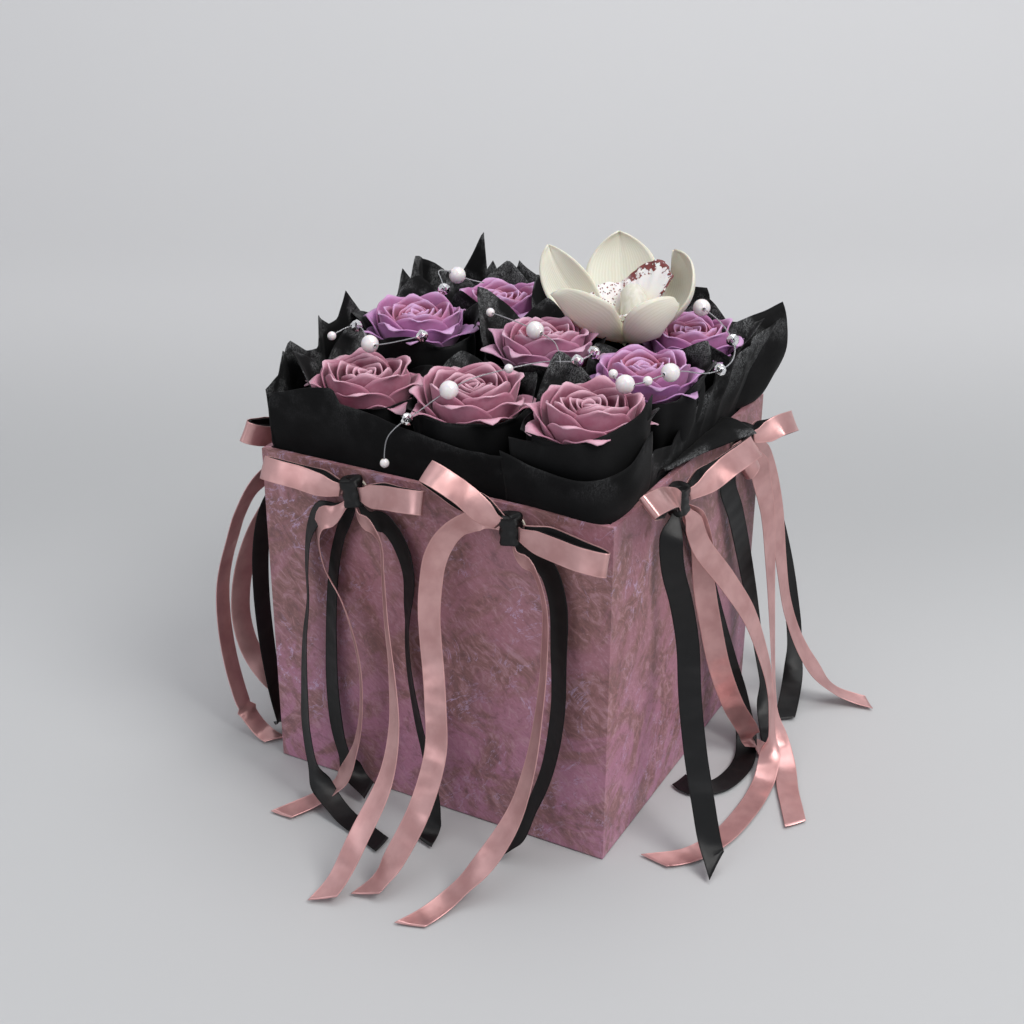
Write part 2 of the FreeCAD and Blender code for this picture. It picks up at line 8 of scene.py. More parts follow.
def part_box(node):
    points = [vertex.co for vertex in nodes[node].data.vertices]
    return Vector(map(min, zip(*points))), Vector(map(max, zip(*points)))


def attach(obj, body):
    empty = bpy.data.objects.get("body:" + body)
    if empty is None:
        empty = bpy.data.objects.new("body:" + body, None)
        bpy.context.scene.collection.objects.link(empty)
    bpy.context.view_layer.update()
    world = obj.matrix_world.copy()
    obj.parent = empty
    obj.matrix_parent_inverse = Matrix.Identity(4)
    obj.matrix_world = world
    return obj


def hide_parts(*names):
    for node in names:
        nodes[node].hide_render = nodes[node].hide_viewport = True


# Flower box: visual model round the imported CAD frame.  Lengths below are in millimetres, in the
# CAD frame (X along the front wall, Y to the back, Z up), and are turned into metres by MM.
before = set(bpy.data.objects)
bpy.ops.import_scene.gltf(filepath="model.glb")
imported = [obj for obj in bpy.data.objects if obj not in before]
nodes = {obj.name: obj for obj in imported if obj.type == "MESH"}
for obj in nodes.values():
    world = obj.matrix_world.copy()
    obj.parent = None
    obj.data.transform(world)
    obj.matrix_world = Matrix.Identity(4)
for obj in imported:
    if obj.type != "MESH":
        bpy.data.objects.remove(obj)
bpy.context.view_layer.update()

MM = 0.001
BODY = "root"

# ---- sizes ---------------------------------------------------------------------------------------
wall_low, wall_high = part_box("cover_paper")
HALF = wall_high.x / MM                     # outside of the cover paper
RIM = wall_high.z / MM
KNOT_LEVEL = RIM - 8.0
KNOT_OUT = 5.0                              # middle of a knot, out from the wall
TAIL_KNOT_LEVEL = 152.0                     # height of the knot that the tails' heights are for

RIBBON_WIDTH = 10.0
RIBBON_THICKNESS = 0.3
EAR_BULGE = 4.4                             # half the depth of an ear's loop
EAR_START = 0.1                             # gap between the knot's side and the start of an ear
EAR_LAYER = 1.3                             # the black band runs this far inside the rose one
PINCH = 0.3                                 # share of a tail's width that leaves the knot
PINCH_END = 17.0                            # a tail has its whole width this far along it
SLANT_RUN = 12.0                            # a slanting end is cut within this length
LYING_LEVEL = 4.0                           # a tail lies flat below this and hangs above the next
HANGING_LEVEL = 22.0
KNOT_WIDTH = 10.0
KNOT_DEPTH = 8.0
KNOT_HEIGHT = 12.0
TABLE_LIFT = 0.5                            # lowest that the middle of a ribbon lies

LINE_DIAMETER = 0.5
PEARL_RADIUS = 4.0
SEED_RADIUS = 2.0
CRYSTAL_RADIUS = 3.0


# ---- small helpers -------------------------------------------------------------------------------
def unit(v):
    """The vector, or each vector of an array, at length 1."""
    return v / np.linalg.norm(v, axis=-1, keepdims=True)


def square_to(vectors, ahead):
    """Unit vectors along what each one has square to the direction ahead."""
    return unit(vectors - ahead * (vectors * ahead).sum(-1, keepdims=True))


def headings(line):
    return unit(np.gradient(line, axis=0))


def smoothstep(low, high, value):
    t = np.clip((np.asarray(value, float) - low) / (high - low), 0.0, 1.0)
    return t * t * (3.0 - 2.0 * t)


def smooth_line(points, count):
    """Points evenly spaced along a smooth line through the given ones."""
    p = np.array(points, float)
    t = np.concatenate([[0.0], np.cumsum(np.linalg.norm(np.diff(p, axis=0), axis=1) ** 0.5)])
    slope = np.diff(p, axis=0) / np.diff(t)[:, None]
    tangent = np.empty_like(p)
    tangent[0] = slope[0]
    tangent[-1] = slope[-1]
    for i in range(1, len(p) - 1):
        across = (p[i + 1] - p[i - 1]) / (t[i + 1] - t[i - 1])
        tangent[i] = slope[i - 1] - across + slope[i]
    fine = np.linspace(0.0, t[-1], 12 * len(p))
    leg = np.clip(np.searchsorted(t, fine, side="right") - 1, 0, len(p) - 2)
    span = (t[leg + 1] - t[leg])[:, None]
    u = (fine - t[leg])[:, None] / span
    line = ((2 * u**3 - 3 * u**2 + 1) * p[leg] + (u**3 - 2 * u**2 + u) * span * tangent[leg]
            + (3 * u**2 - 2 * u**3) * p[leg + 1] + (u**3 - u**2) * span * tangent[leg + 1])
    return resample(line, count)


def arc_lengths(line):
    return np.concatenate([[0.0], np.cumsum(np.linalg.norm(np.diff(line, axis=0), axis=1))])


def resample(line, count):
    run = arc_lengths(line)
    return at_lengths(line, run, np.linspace(0.0, run[-1], count))


def at_lengths(values, run, places):
    return np.stack([np.interp(places, run, values[:, k]) for k in range(values.shape[1])], axis=1)


def bumps(grid, scale, seed):
    """Smooth noise from -1 to 1 at each point of a grid, with features about scale mm across."""
    shift = Vector((seed * 3.7, seed * 1.3, seed * 7.9))
    values = [noise.noise(Vector(p) / scale + shift) for p in grid.reshape(-1, 3)]
    return np.array(values).reshape(grid.shape[:2])


def grid_faces(rows, columns, around=False, first=0):
    faces = []
    last = columns if around else columns - 1
    for i in range(rows - 1):
        for j in range(last):
            k = (j + 1) % columns
            a = first + i * columns
            faces.append((a + j, a + k, a + columns + k, a + columns + j))
    return faces


class Shape:
    """Vertices, faces and named numbers per vertex, gathered before one mesh is made of them."""

    def __init__(self):
        self.vertices = []
        self.faces = []
        self.marks = {}
        self.count = 0

    def add_grid(self, grid, around=False, **marks):
        """grid is rows x columns x 3, in millimetres; each mark is rows x columns."""
        rows, columns = grid.shape[:2]
        self.faces += grid_faces(rows, columns, around, self.count)
        self.add_points(grid.reshape(-1, 3), **marks)

    def add_points(self, points, **marks):
        for name, values in marks.items():
            flat = np.asarray(values, float).reshape(-1)
            self.marks.setdefault(name, []).append((self.count, flat))
        self.vertices.append(points)
        self.count += len(points)

    def close_ends(self, first, rows, columns, flip=False):
        """Flat face over the first and the last ring of a tube that starts at vertex first."""
        start = [first + j for j in range(columns)]
        end = [(rows - 1) * columns + k for k in start]
        self.faces += [tuple(start[::1 if flip else -1]), tuple(end[::-1 if flip else 1])]

    def make(self, name, material, thickness=0.0, smooth=True):
        points = np.concatenate(self.vertices) * MM
        mesh = bpy.data.meshes.new(name)
        mesh.from_pydata(points.tolist(), [], self.faces)
        for mark, parts in self.marks.items():
            values = np.zeros(self.count, np.float32)
            for first, flat in parts:
                values[first:first + len(flat)] = flat
            layer = mesh.attributes.new(mark, "FLOAT", "POINT")
            layer.data.foreach_set("value", values)
        mesh.polygons.foreach_set("use_smooth", [smooth] * len(mesh.polygons))
        mesh.update()
        piece = bpy.data.objects.new(name, mesh)
        bpy.context.scene.collection.objects.link(piece)
        mesh.materials.append(material)
        if thickness:
            solidify = piece.modifiers.new("thickness", "SOLIDIFY")
            solidify.thickness = thickness * MM
            solidify.offset = 0.0
        return piece


def place(piece, slot, *replaced):
    """The piece rides on the box and stands for CAD nodes; slot is not used."""
    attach(piece, BODY)
    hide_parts(*replaced)
    return piece


# ---- materials -----------------------------------------------------------------------------------
def srgb(red, green, blue):
    """Linear colour from 0-255 values."""
    out = []
    for value in (red, green, blue):
        c = value / 255.0
        out.append(c / 12.92 if c <= 0.04045 else ((c + 0.055) / 1.055) ** 2.4)
    return (*out, 1.0)


def scaled(colour, share):
    return (*(min(1.0, c * share) for c in colour[:3]), 1.0)


class Nodes:
    """Short calls for building one material's node tree."""

    def __init__(self, name):
        self.material = bpy.data.materials.new(name)
        self.material.use_nodes = True
        self.tree = self.material.node_tree
        self.shader = self.tree.nodes["Principled BSDF"]

    def new(self, kind, **settings):
        node = self.tree.nodes.new(kind)
        for name, value in settings.items():
            setattr(node, name, value)
        return node

    def feed(self, socket, value):
        if isinstance(value, bpy.types.NodeSocket):
            self.tree.links.new(value, socket)
        else:
            socket.default_value = value

    def fill(self, node, **values):
        """Constants or links into a node's inputs, named with _ for each space."""
        for name, value in values.items():
            self.feed(node.inputs[name.replace("_", " ")], value)
        return node

    def set(self, **values):
        self.fill(self.shader, **values)

    def mapped(self, kind, scale, turn):
        coords = self.new("ShaderNodeTexCoord")
        mapping = self.new("ShaderNodeMapping", vector_type=kind)
        self.fill(mapping, Vector=coords.outputs["Object"], Scale=scale,
                  Rotation=[math.radians(t) for t in turn])
        return mapping.outputs["Vector"]

    def position(self, scale=(1.0, 1.0, 1.0), turn=(0.0, 0.0, 0.0)):
        """Object coordinates in millimetres, scaled and turned."""
        return self.mapped("POINT", [s / MM for s in scale], turn)

    def grain(self, stretch, turn):
        """Object coordinates in millimetres whose detail runs long in a turned direction."""
        return self.mapped("TEXTURE", [s * MM for s in stretch], turn)

    def mark(self, name):
        return self.new("ShaderNodeAttribute", attribute_name=name).outputs["Fac"]

    def noise(self, vector, scale, detail=4.0, roughness=0.5, distortion=0.0):
        node = self.new("ShaderNodeTexNoise")
        self.fill(node, Vector=vector, Scale=scale, Detail=detail, Roughness=roughness,
                  Distortion=distortion)
        return node.outputs["Fac"]

    def cells(self, vector, scale):
        node = self.new("ShaderNodeTexVoronoi")
        return self.fill(node, Vector=vector, Scale=scale).outputs["Distance"]

    def math(self, operation, a, b=0.0, c=0.0, clamp=False):
        node = self.new("ShaderNodeMath", operation=operation, use_clamp=clamp)
        for socket, value in zip(node.inputs, (a, b, c)):
            self.feed(socket, value)
        return node.outputs["Value"]

    def ramp(self, value, low, high, out_low=0.0, out_high=1.0):
        node = self.new("ShaderNodeMapRange", interpolation_type="SMOOTHSTEP")
        self.fill(node, Value=value, From_Min=low, From_Max=high, To_Min=out_low,
                  To_Max=out_high)
        return node.outputs["Result"]

    def mix(self, share, a, b):
        node = self.new("ShaderNodeMix", data_type="RGBA")
        colour_a = node.inputs[6]
        colour_b = node.inputs[7]
        self.feed(node.inputs["Factor"], share)
        self.feed(colour_a, a)
        self.feed(colour_b, b)
        return node.outputs[2]

    def vector(self, x, y, z=0.0):
        node = self.new("ShaderNodeCombineXYZ")
        return self.fill(node, X=x, Y=y, Z=z).outputs["Vector"]

    def bump(self, height, strength, distance, below=None):
        node = self.new("ShaderNodeBump")
        self.fill(node, Strength=strength, Distance=distance * MM, Height=height)
        if below is not None:
            self.feed(node.inputs["Normal"], below)
        return node.outputs["Normal"]

    def stretched_noise(self, along, across, scales, *settings):
        """Noise on a ribbon, from its marks along and across it."""
        return self.noise(self.vector(self.math("MULTIPLY", along, scales[0]),
                                      self.math("MULTIPLY", across, scales[1])), 1.0, *settings)


THREAD_PITCH = 0.45


def satin(name, face, shade, gloss, metal):
    """Woven satin ribbon: fine ribs across, a matte corded selvedge, and painted shade: slow random
    bands of the darker shade colour along it.
    """
    n = Nodes(name)
    across = n.mark("across")
    along = n.mark("along")
    edge = n.ramp(n.math("ABSOLUTE", across), 0.86, 0.94)
    threads = n.math("SINE", n.math("MULTIPLY", along, 2 * math.pi / THREAD_PITCH))
    warp = n.math("SINE", n.math("MULTIPLY", across, 60.0))
    painted_shade_drift = n.stretched_noise(along, across, (0.07, 0.4))
    streaks = n.stretched_noise(along, across, (0.3, 5.0))
    # Painted shade: the face colour gives way to a darker copy of it in slow bands along the
    # ribbon.
    colour = n.mix(n.ramp(painted_shade_drift, 0.3, 0.7), face, shade)
    colour = n.mix(n.math("MULTIPLY", edge, 0.35), colour, scaled(face, 1.25))
    rough = n.math("ADD", n.ramp(streaks, 0.2, 0.8, gloss - 0.03, gloss + 0.03),
                   n.math("MULTIPLY", edge, 0.2))
    body = n.math("MULTIPLY_ADD", warp, 0.3, threads)
    swayed = n.bump(n.stretched_noise(along, across, (0.085, 0.3), 1.0, 0.4), 0.9, 1.6)
    normal = n.bump(n.math("MULTIPLY_ADD", edge, 1.5, body), 0.1, 0.02, swayed)
    weft = n.vector(n.mark("weft_x"), n.mark("weft_y"), n.mark("weft_z"))
    n.set(Base_Color=colour, Roughness=rough, Normal=normal, Anisotropic=0.8, Tangent=weft)
    n.set(Metallic=metal, Specular_IOR_Level=0.6)
    return n.material


def paper_cover():
    """Marbled printed paper: mauve ground, brown clouds, slanting fibres and pale veins."""
    n = Nodes("marbled_paper")
    at = n.position()
    slanted = n.grain((1.7, 1.0, 0.9), (0.0, -42.0, 36.0))
    stretched = n.grain((3.6, 1.0, 0.9), (0.0, 35.0, 36.0))
    clouds = n.noise(slanted, 0.038, 7.0, 0.66, 1.0)
    pinks = n.noise(at, 0.014, 4.0, 0.55, 0.8)
    fibres = n.noise(stretched, 0.12, 8.0, 0.68, 2.2)
    fine = n.noise(stretched, 0.55, 6.0, 0.65, 1.2)
    height = n.new("ShaderNodeSeparateXYZ")
    n.feed(height.inputs[0], at)
    low = n.ramp(height.outputs["Z"], 115.0, 10.0)
    ground = n.mix(n.ramp(pinks, 0.36, 0.64), srgb(166, 116, 126), srgb(170, 117, 128))
    ground = n.mix(n.math("MULTIPLY", low, 0.65), ground, srgb(186, 128, 160))
    brown = n.mix(n.ramp(fibres, 0.4, 0.6), srgb(124, 90, 83), srgb(154, 111, 106))
    colour = n.mix(n.ramp(clouds, 0.42, 0.58, 0.0, 0.8), ground, brown)
    colour = n.mix(n.ramp(fibres, 0.5, 0.68, 0.0, 0.65), colour, srgb(192, 150, 162))
    colour = n.mix(n.ramp(fibres, 0.46, 0.3, 0.0, 0.5), colour, srgb(112, 78, 84))
    colour = n.mix(n.ramp(fine, 0.5, 0.72, 0.0, 0.35), colour, srgb(118, 84, 92))
    colour = n.mix(n.ramp(fine, 0.46, 0.3, 0.0, 0.3), colour, srgb(206, 170, 184))
    wander = n.noise(slanted, 0.03, 7.0, 0.66, 2.0)
    vein_line = n.math("ABSOLUTE", n.math("SUBTRACT", wander, 0.5))
    veins = n.ramp(vein_line, 0.0, 0.016, 1.0, 0.0)
    patchy = n.ramp(n.noise(at, 0.025, 3.0), 0.42, 0.62)
    broken = n.ramp(n.noise(at, 0.3, 4.0), 0.35, 0.62)
    strength = n.math("MULTIPLY", n.math("MULTIPLY", veins, patchy),
                      n.math("MULTIPLY", broken, 0.85))
    colour = n.mix(strength, colour, srgb(204, 178, 212))
    bevel = n.new("ShaderNodeBevel", samples=4)
    bevel.inputs["Radius"].default_value = 0.7 * MM
    normal = n.bump(n.math("ADD", fibres, fine), 0.12, 0.25, bevel.outputs["Normal"])
    n.set(Base_Color=colour, Roughness=n.ramp(fibres, 0.3, 0.7, 0.42, 0.58), Normal=normal)
    n.set(Specular_IOR_Level=0.4)
    return n.material


def flat_stock(name, colour, other, grain, rough, relief):
    """Board, plain paper, foam and moulded parts: two-tone grain with a fine relief."""
    n = Nodes(name)
    at = n.position()
    coarse = n.noise(at, grain * 0.2, 4.0)
    fine = n.noise(at, grain, 5.0, 0.6)
    shade = n.mix(n.ramp(n.math("MULTIPLY_ADD", fine, 0.5, n.math("MULTIPLY", coarse, 0.5)),
                         0.38, 0.62), colour, other)
    n.set(Base_Color=shade, Roughness=n.ramp(fine, 0.3, 0.7, rough - 0.06, rough + 0.06))
    n.set(Normal=n.bump(fine, relief, 0.2))
    return n.material


def nonwoven():
    """Black spun-bonded sheet: fibre mesh, frayed towards its edges."""
    n = Nodes("black_nonwoven")
    at = n.position()
    fibre = n.noise(at, 0.9, 8.0, 0.75, 2.2)
    cross = n.noise(n.position(scale=(3.0, 0.6, 0.6), turn=(20, 40, 10)), 0.7, 6.0, 0.7, 1.0)
    clouds = n.noise(at, 0.06, 3.0)
    pale = n.math("MULTIPLY", n.ramp(fibre, 0.42, 0.6), n.ramp(cross, 0.36, 0.56))
    rim = n.mark("rim")
    colour = n.mix(n.ramp(clouds, 0.35, 0.65), srgb(9, 9, 10), srgb(17, 17, 18))
    worn = n.math("MULTIPLY", rim, n.ramp(clouds, 0.42, 0.58))
    colour = n.mix(n.math("MULTIPLY", pale, 0.06), colour, srgb(36, 37, 38))
    colour = n.mix(n.math("MULTIPLY", n.math("MULTIPLY", pale, worn), 0.8), colour,
                   srgb(138, 139, 140))
    normal = n.bump(n.math("ADD", fibre, cross), 0.06, 0.1)
    n.set(Base_Color=colour, Roughness=n.ramp(fibre, 0.3, 0.7, 0.7, 0.88), Normal=normal)
    n.set(Sheen_Weight=0.02, Sheen_Roughness=0.5, Specular_IOR_Level=0.16)
    return n.material


def petal_stuff(name, heart, outer, pale):
    """Rose petals pressed from soap flakes: even body, paler rims, faint lengthwise veins, and
    painted shade darkening each petal towards its foot.
    """
    n = Nodes(name)
    rim = n.mark("rim")
    layer = n.mark("layer")
    shade = n.mark("shade")
    along = n.mark("vein")
    body = n.mix(n.ramp(layer, 0.3, 1.0), heart, outer)
    body = n.mix(n.ramp(rim, 0.35, 1.0), body, pale)
    # Painted shade: petals darken to a deep copy of the heart colour towards their feet, inside the
    # flower.
    body = n.mix(n.math("MULTIPLY", shade, 0.75), body, scaled(heart, 0.62))
    veins = n.math("SINE", n.math("MULTIPLY_ADD", along, 46.0,
                                  n.math("MULTIPLY", n.noise(n.position(), 0.25), 5.0)))
    mottled = n.noise(n.position(), 0.35, 5.0)
    body = n.mix(n.ramp(mottled, 0.35, 0.7, 0.0, 0.22), body, scaled(pale, 0.8))
    normal = n.bump(n.math("MULTIPLY_ADD", mottled, 2.0, veins), 0.1, 0.12)
    n.set(Base_Color=body, Roughness=n.ramp(mottled, 0.3, 0.7, 0.5, 0.62), Normal=normal)
    n.set(Subsurface_Weight=0.12, Subsurface_Scale=1.5 * MM, Sheen_Weight=0.15)
    n.shader.inputs["Subsurface Radius"].default_value = (1.0, 0.5, 0.6)
    return n.material


# ---- camera, floor and light ---------------------------------------------------------------------
CAMERA_TURN = 28.268                        # from the front towards the right, degrees
CAMERA_RISE = 25.072
CAMERA_ROLL = 0.211
CAMERA_DISTANCE = 722.3
CAMERA_TARGET = (-6.02, 0.0, 111.91)
CAMERA_LENS = 53.56


def add_camera():
    turn = math.radians(CAMERA_TURN)
    rise = math.radians(CAMERA_RISE)
    back = Vector((math.sin(turn) * math.cos(rise), -math.cos(turn) * math.cos(rise),
                   math.sin(rise)))
    data = bpy.data.cameras.new("camera")
    data.lens = CAMERA_LENS
    data.sensor_width = 36.0
    data.clip_start = 0.05
    camera = bpy.data.objects.new("camera", data)
    bpy.context.scene.collection.objects.link(camera)
    camera.location = (Vector(CAMERA_TARGET) + back * CAMERA_DISTANCE) * MM
    look = back.to_track_quat("Z", "Y")
    camera.rotation_euler = look.to_euler()
    camera.rotation_euler.rotate_axis("Z", math.radians(CAMERA_ROLL))
    bpy.context.scene.camera = camera


SWEEP_START = 900.0                         # from the box to where the floor turns up
SWEEP_RADIUS = 900.0
SWEEP_STEPS = 12
FLOOR_REACH = 2600.0
WALL_TOP = 3200.0
# Tone of the sheet, its pale grey with painted shade and light: darkest a little behind the box,
# lighter further back and up the sweep.  Distance behind the middle of the box, colour.
BACKDROP_GREY_AND_PAINTED_SHADE = ((0.0, (187, 188, 189)), (260.0, (174, 175, 176)), (750.0, (197, 197, 198)),
                  (2000.0, (212, 212, 213)))


def add_floor():
    """Seamless sheet: flat under the box, curving up behind it into a pale backdrop."""
    profile = [(r, 0.0) for r in (-FLOOR_REACH, 0.0, 300.0, 600.0, SWEEP_START)]
    for step in range(1, SWEEP_STEPS + 1):
        a = math.pi / 2 * step / SWEEP_STEPS
        profile.append((SWEEP_START + SWEEP_RADIUS * math.sin(a),
                        SWEEP_RADIUS * (1.0 - math.cos(a))))
    profile.append((SWEEP_START + SWEEP_RADIUS, WALL_TOP))
    grid = np.array([[(-FLOOR_REACH, r, z), (FLOOR_REACH, r, z)] for r, z in profile])
    turn = math.radians(CAMERA_TURN)
    x = grid[..., 0] * math.cos(turn) - grid[..., 1] * math.sin(turn)
    y = grid[..., 0] * math.sin(turn) + grid[..., 1] * math.cos(turn)
    run = arc_lengths(grid[:, 0])
    floor = Shape()
    floor.add_grid(np.stack([x, y, grid[..., 2]], axis=-1),
                   run=np.broadcast_to(run[:, None], grid.shape[:2]))
    n = Nodes("backdrop")
    run_mark = n.mark("run")
    # Painted shade and light: the sheet's grey darkens behind the box and lightens up the sweep.
    sheet_grey_and_painted_shade = srgb(*BACKDROP_GREY_AND_PAINTED_SHADE[0][1])
    for (near, _), (far, colour) in zip(BACKDROP_GREY_AND_PAINTED_SHADE, BACKDROP_GREY_AND_PAINTED_SHADE[1:]):
        sheet_grey_and_painted_shade = n.mix(n.ramp(run_mark, FLOOR_REACH + near, FLOOR_REACH + far), sheet_grey_and_painted_shade, srgb(*colour))
    n.set(Base_Color=sheet_grey_and_painted_shade, Roughness=0.62, Specular_IOR_Level=0.25)
    floor.make("backdrop", n.material)


LIGHT_TARGET = (0.0, 0.0, 80.0)


def area_light(name, place, size, power, colour=(1.0, 1.0, 1.0)):
    data = bpy.data.lights.new(name, "AREA")
    data.shape = "DISK"
    data.size = size * MM
    data.energy = power
    data.color = colour
    light = bpy.data.objects.new(name, data)
    bpy.context.scene.collection.objects.link(light)
    light.location = Vector(place) * MM
    aim = Vector(LIGHT_TARGET) - Vector(place)
    light.rotation_euler = aim.to_track_quat("-Z", "Y").to_euler()


def add_light():
    world = bpy.data.worlds.new("studio")
    world.use_nodes = True
    background = world.node_tree.nodes["Background"]
    background.inputs["Color"].default_value = (0.93, 0.95, 1.0, 1.0)
    background.inputs["Strength"].default_value = 0.57
    bpy.context.scene.world = world
    area_light("key", (1700.0, -350.0, 2300.0), 1200.0, 38.0, (1.0, 0.985, 0.96))
    area_light("fill", (-300.0, -1700.0, 1100.0), 900.0, 3.5, (0.95, 0.97, 1.0))
    area_light("top", (250.0, 500.0, 2600.0), 1700.0, 21.0)
    bpy.context.scene.view_settings.view_transform = "Standard"


# ---- CAD nodes that are shown --------------------------------------------------------------------
boards = ["board_" + side for side in ("front", "back", "left", "right", "base")]
# Plain stocks: nodes, material, its two tones, grain, roughness, relief.
stocks = (
    (boards, "greyboard", (142, 134, 124), (120, 112, 104), 0.8, 0.85, 0.15),
    (["base_sheet"], "base_paper", (54, 46, 50), (40, 34, 38), 0.7, 0.75, 0.15),
    (["lining_paper", "lining_floor"], "black_paper", (24, 24, 26), (36, 35, 37), 0.9, 0.8, 0.15),
    # Floral foam: its own green, darkened with painted shade for the shadow it lies in under the
    # flowers.
    (["foam_block"], "floral_foam", (58, 84, 52), (38, 60, 36), 1.6, 0.95, 0.9),
    (["stem_picks"], "pick_plastic", (62, 108, 58), (50, 92, 48), 0.5, 0.4, 0.05),
    (["calyx_cups"], "calyx_plastic", (74, 118, 60), (56, 98, 48), 0.6, 0.42, 0.08),
    (["adhesive_dots"], "adhesive", (226, 222, 208), (210, 205, 190), 0.6, 0.4, 0.08),
)


def finish_node(name, material):
    node = nodes[name]
    node.data.materials.clear()
    node.data.materials.append(material)


def finish_nodes():
    for names, stock, colour, other, grain, rough, relief in stocks:
        material = flat_stock(stock, srgb(*colour), srgb(*other), grain, rough, relief)
        for name in names:
            finish_node(name, material)
    finish_node("cover_paper", paper_cover())


# ---- bead garlands -------------------------------------------------------------------------------
# Route of each clear line, its length along the tube of the CAD part, and its beads as (kind, share
# of the way along).
garlands = {
    "left": {
        "route": ((-75, -43, 200.5), (-73, -35, 203), (-67, -30.5, 203.5), (-61, -36, 200.5),
                  (-55, -43, 199.5), (-44.5, -40, 201.5), (-34, -30.5, 204)),
        "length": 56.5,
        "beads": (("seed", 0.01), ("crystal", 0.24), ("pearl", 0.55), ("crystal", 0.985)),
    },
    "front": {
        "route": ((-19, -88, 167), (-19, -88.5, 176), (-15, -87, 183.5), (-8, -80, 189),
                  (0, -73, 196.5), (8, -66, 202), (15, -54, 203), (21, -42, 203),
                  (29, -34, 204), (38, -34, 205), (45, -31, 206), (46, -22, 208)),
        "length": 120.6,
        "beads": (("seed", 0.005), ("crystal", 0.207), ("pearl", 0.388), ("seed", 0.635),
                  ("crystal", 0.9), ("crystal", 0.981)),
    },
    "back_left": {
        "route": ((-43, 3, 213.5), (-48, 9, 217), (-55, 16, 219), (-55, 27, 216), (-50, 33, 211),
                  (-42, 38, 209)),
        "length": 48.0,
        "beads": (("crystal", 0.048), ("pearl", 0.714)),
    },
    "centre": {
        "route": ((-19, 2, 208), (-8, -4, 209), (6, -10, 209), (19, -14, 207), (29, -24, 208),
                  (36, -36, 205)),
        "length": 70.6,
        "beads": (("seed", 0.01), ("pearl", 0.482)),
    },
    "right": {
        "route": ((60, -36, 205), (65, -44, 204), (73, -43, 203.5), (79, -31, 205),
                  (83, -20, 205), (91, -9, 200.5), (97, 3, 202), (95, 14, 206),
                  (87, 25, 209), (75, 38, 211), (62, 55, 208)),
        "length": 132.7,
        "beads": (("seed", 0.013), ("pearl", 0.094), ("seed", 0.17), ("pearl", 0.266),
                  ("crystal", 0.467), ("crystal", 0.65), ("pearl", 0.99)),
    },
}


def open_line(name, route, bevel):
    data = bpy.data.curves.new(name, "CURVE")
    data.dimensions = "3D"
    data.resolution_u = 16
    spline = data.splines.new("NURBS")
    spline.points.add(len(route) - 1)
    for point, spot in zip(spline.points, route):
        point.co = (*(Vector(spot) * MM), 1.0)
    spline.order_u = 3
    spline.use_endpoint_u = True
    data.bevel_depth = bevel * MM
    data.bevel_resolution = 3
    piece = bpy.data.objects.new(name, data)
    bpy.context.scene.collection.objects.link(piece)
    return piece


def line_points(route):
    """Points along the line of a route, read from its NURBS spline, in millimetres."""
    bare = open_line("route", route, 0.0)
    mesh = bpy.data.meshes.new_from_object(bare)
    points = np.array([v.co for v in mesh.vertices]) / MM
    bpy.data.objects.remove(bare)
    return points


def bead_ring(centre, axis, side, radius, up, out, places):
    """One ring of a bead's points: up its axis and out from it, in shares of its radius."""
    a = 2 * math.pi * np.asarray(places)[:, None]
    ring = side * np.cos(a) + np.cross(axis, side) * np.sin(a)
    return centre + radius * (axis * up + ring * out)


BEAD_HOLE = 0.12                            # share of a pearl's half turn that its drilling takes


def add_ball(shape, radius, centre, axis):
    """Pearl: a round shell, flat over the drilling where the line passes through."""
    rows = 15
    columns = 24
    side = unit(np.cross(axis, (0.3, 0.5, 0.8)))
    places = np.arange(columns) / columns
    grid = []
    for i in range(rows):
        a = math.pi * (BEAD_HOLE / 2 + (1 - BEAD_HOLE) * i / (rows - 1))
        grid.append(bead_ring(centre, axis, side, radius, math.cos(a), math.sin(a), places))
    first = shape.count
    shape.add_grid(np.array(grid), around=True)
    shape.close_ends(first, rows, columns, flip=True)


# Rings of a faceted bead: up its axis, out from it, turn in shares of a facet.
gem_rings = ((0.86, 0.3, 0.0), (0.5, 0.76, 0.5), (0.0, 1.0, 0.0), (-0.5, 0.76, 0.5),
             (-0.86, 0.3, 0.0))
GEM_SIDES = 8


def add_gem(shape, radius, centre, axis):
    """Faceted bicone: a flat table, two rows of facets each way and a sharp girdle."""
    side = unit(np.cross(axis, (0.2, 0.7, 0.4)))
    first = shape.count
    for up, out, turn in gem_rings:
        places = (np.arange(GEM_SIDES) + turn) / GEM_SIDES
        shape.add_points(bead_ring(centre, axis, side, radius, up, out, places))
    for i in range(len(gem_rings) - 1):
        lag = 1 if gem_rings[i][2] > gem_rings[i + 1][2] else 0
        upper = first + i * GEM_SIDES
        lower = upper + GEM_SIDES
        for j in range(GEM_SIDES):
            a = upper + j
            b = upper + (j + 1) % GEM_SIDES
            c = lower + (j + lag) % GEM_SIDES
            d = lower + (j + 1 + lag) % GEM_SIDES
            shape.faces += [(a, b, c), (b, d, c)]
    shape.close_ends(first, len(gem_rings), GEM_SIDES)


def line_stuff():
    n = Nodes("clear_line")
    at = n.position()
    tint = n.mix(n.noise(at, 0.4), srgb(188, 190, 194), srgb(206, 206, 208))
    n.set(Base_Color=tint, Roughness=0.12, Transmission_Weight=0.6, IOR=1.53)
    return n.material


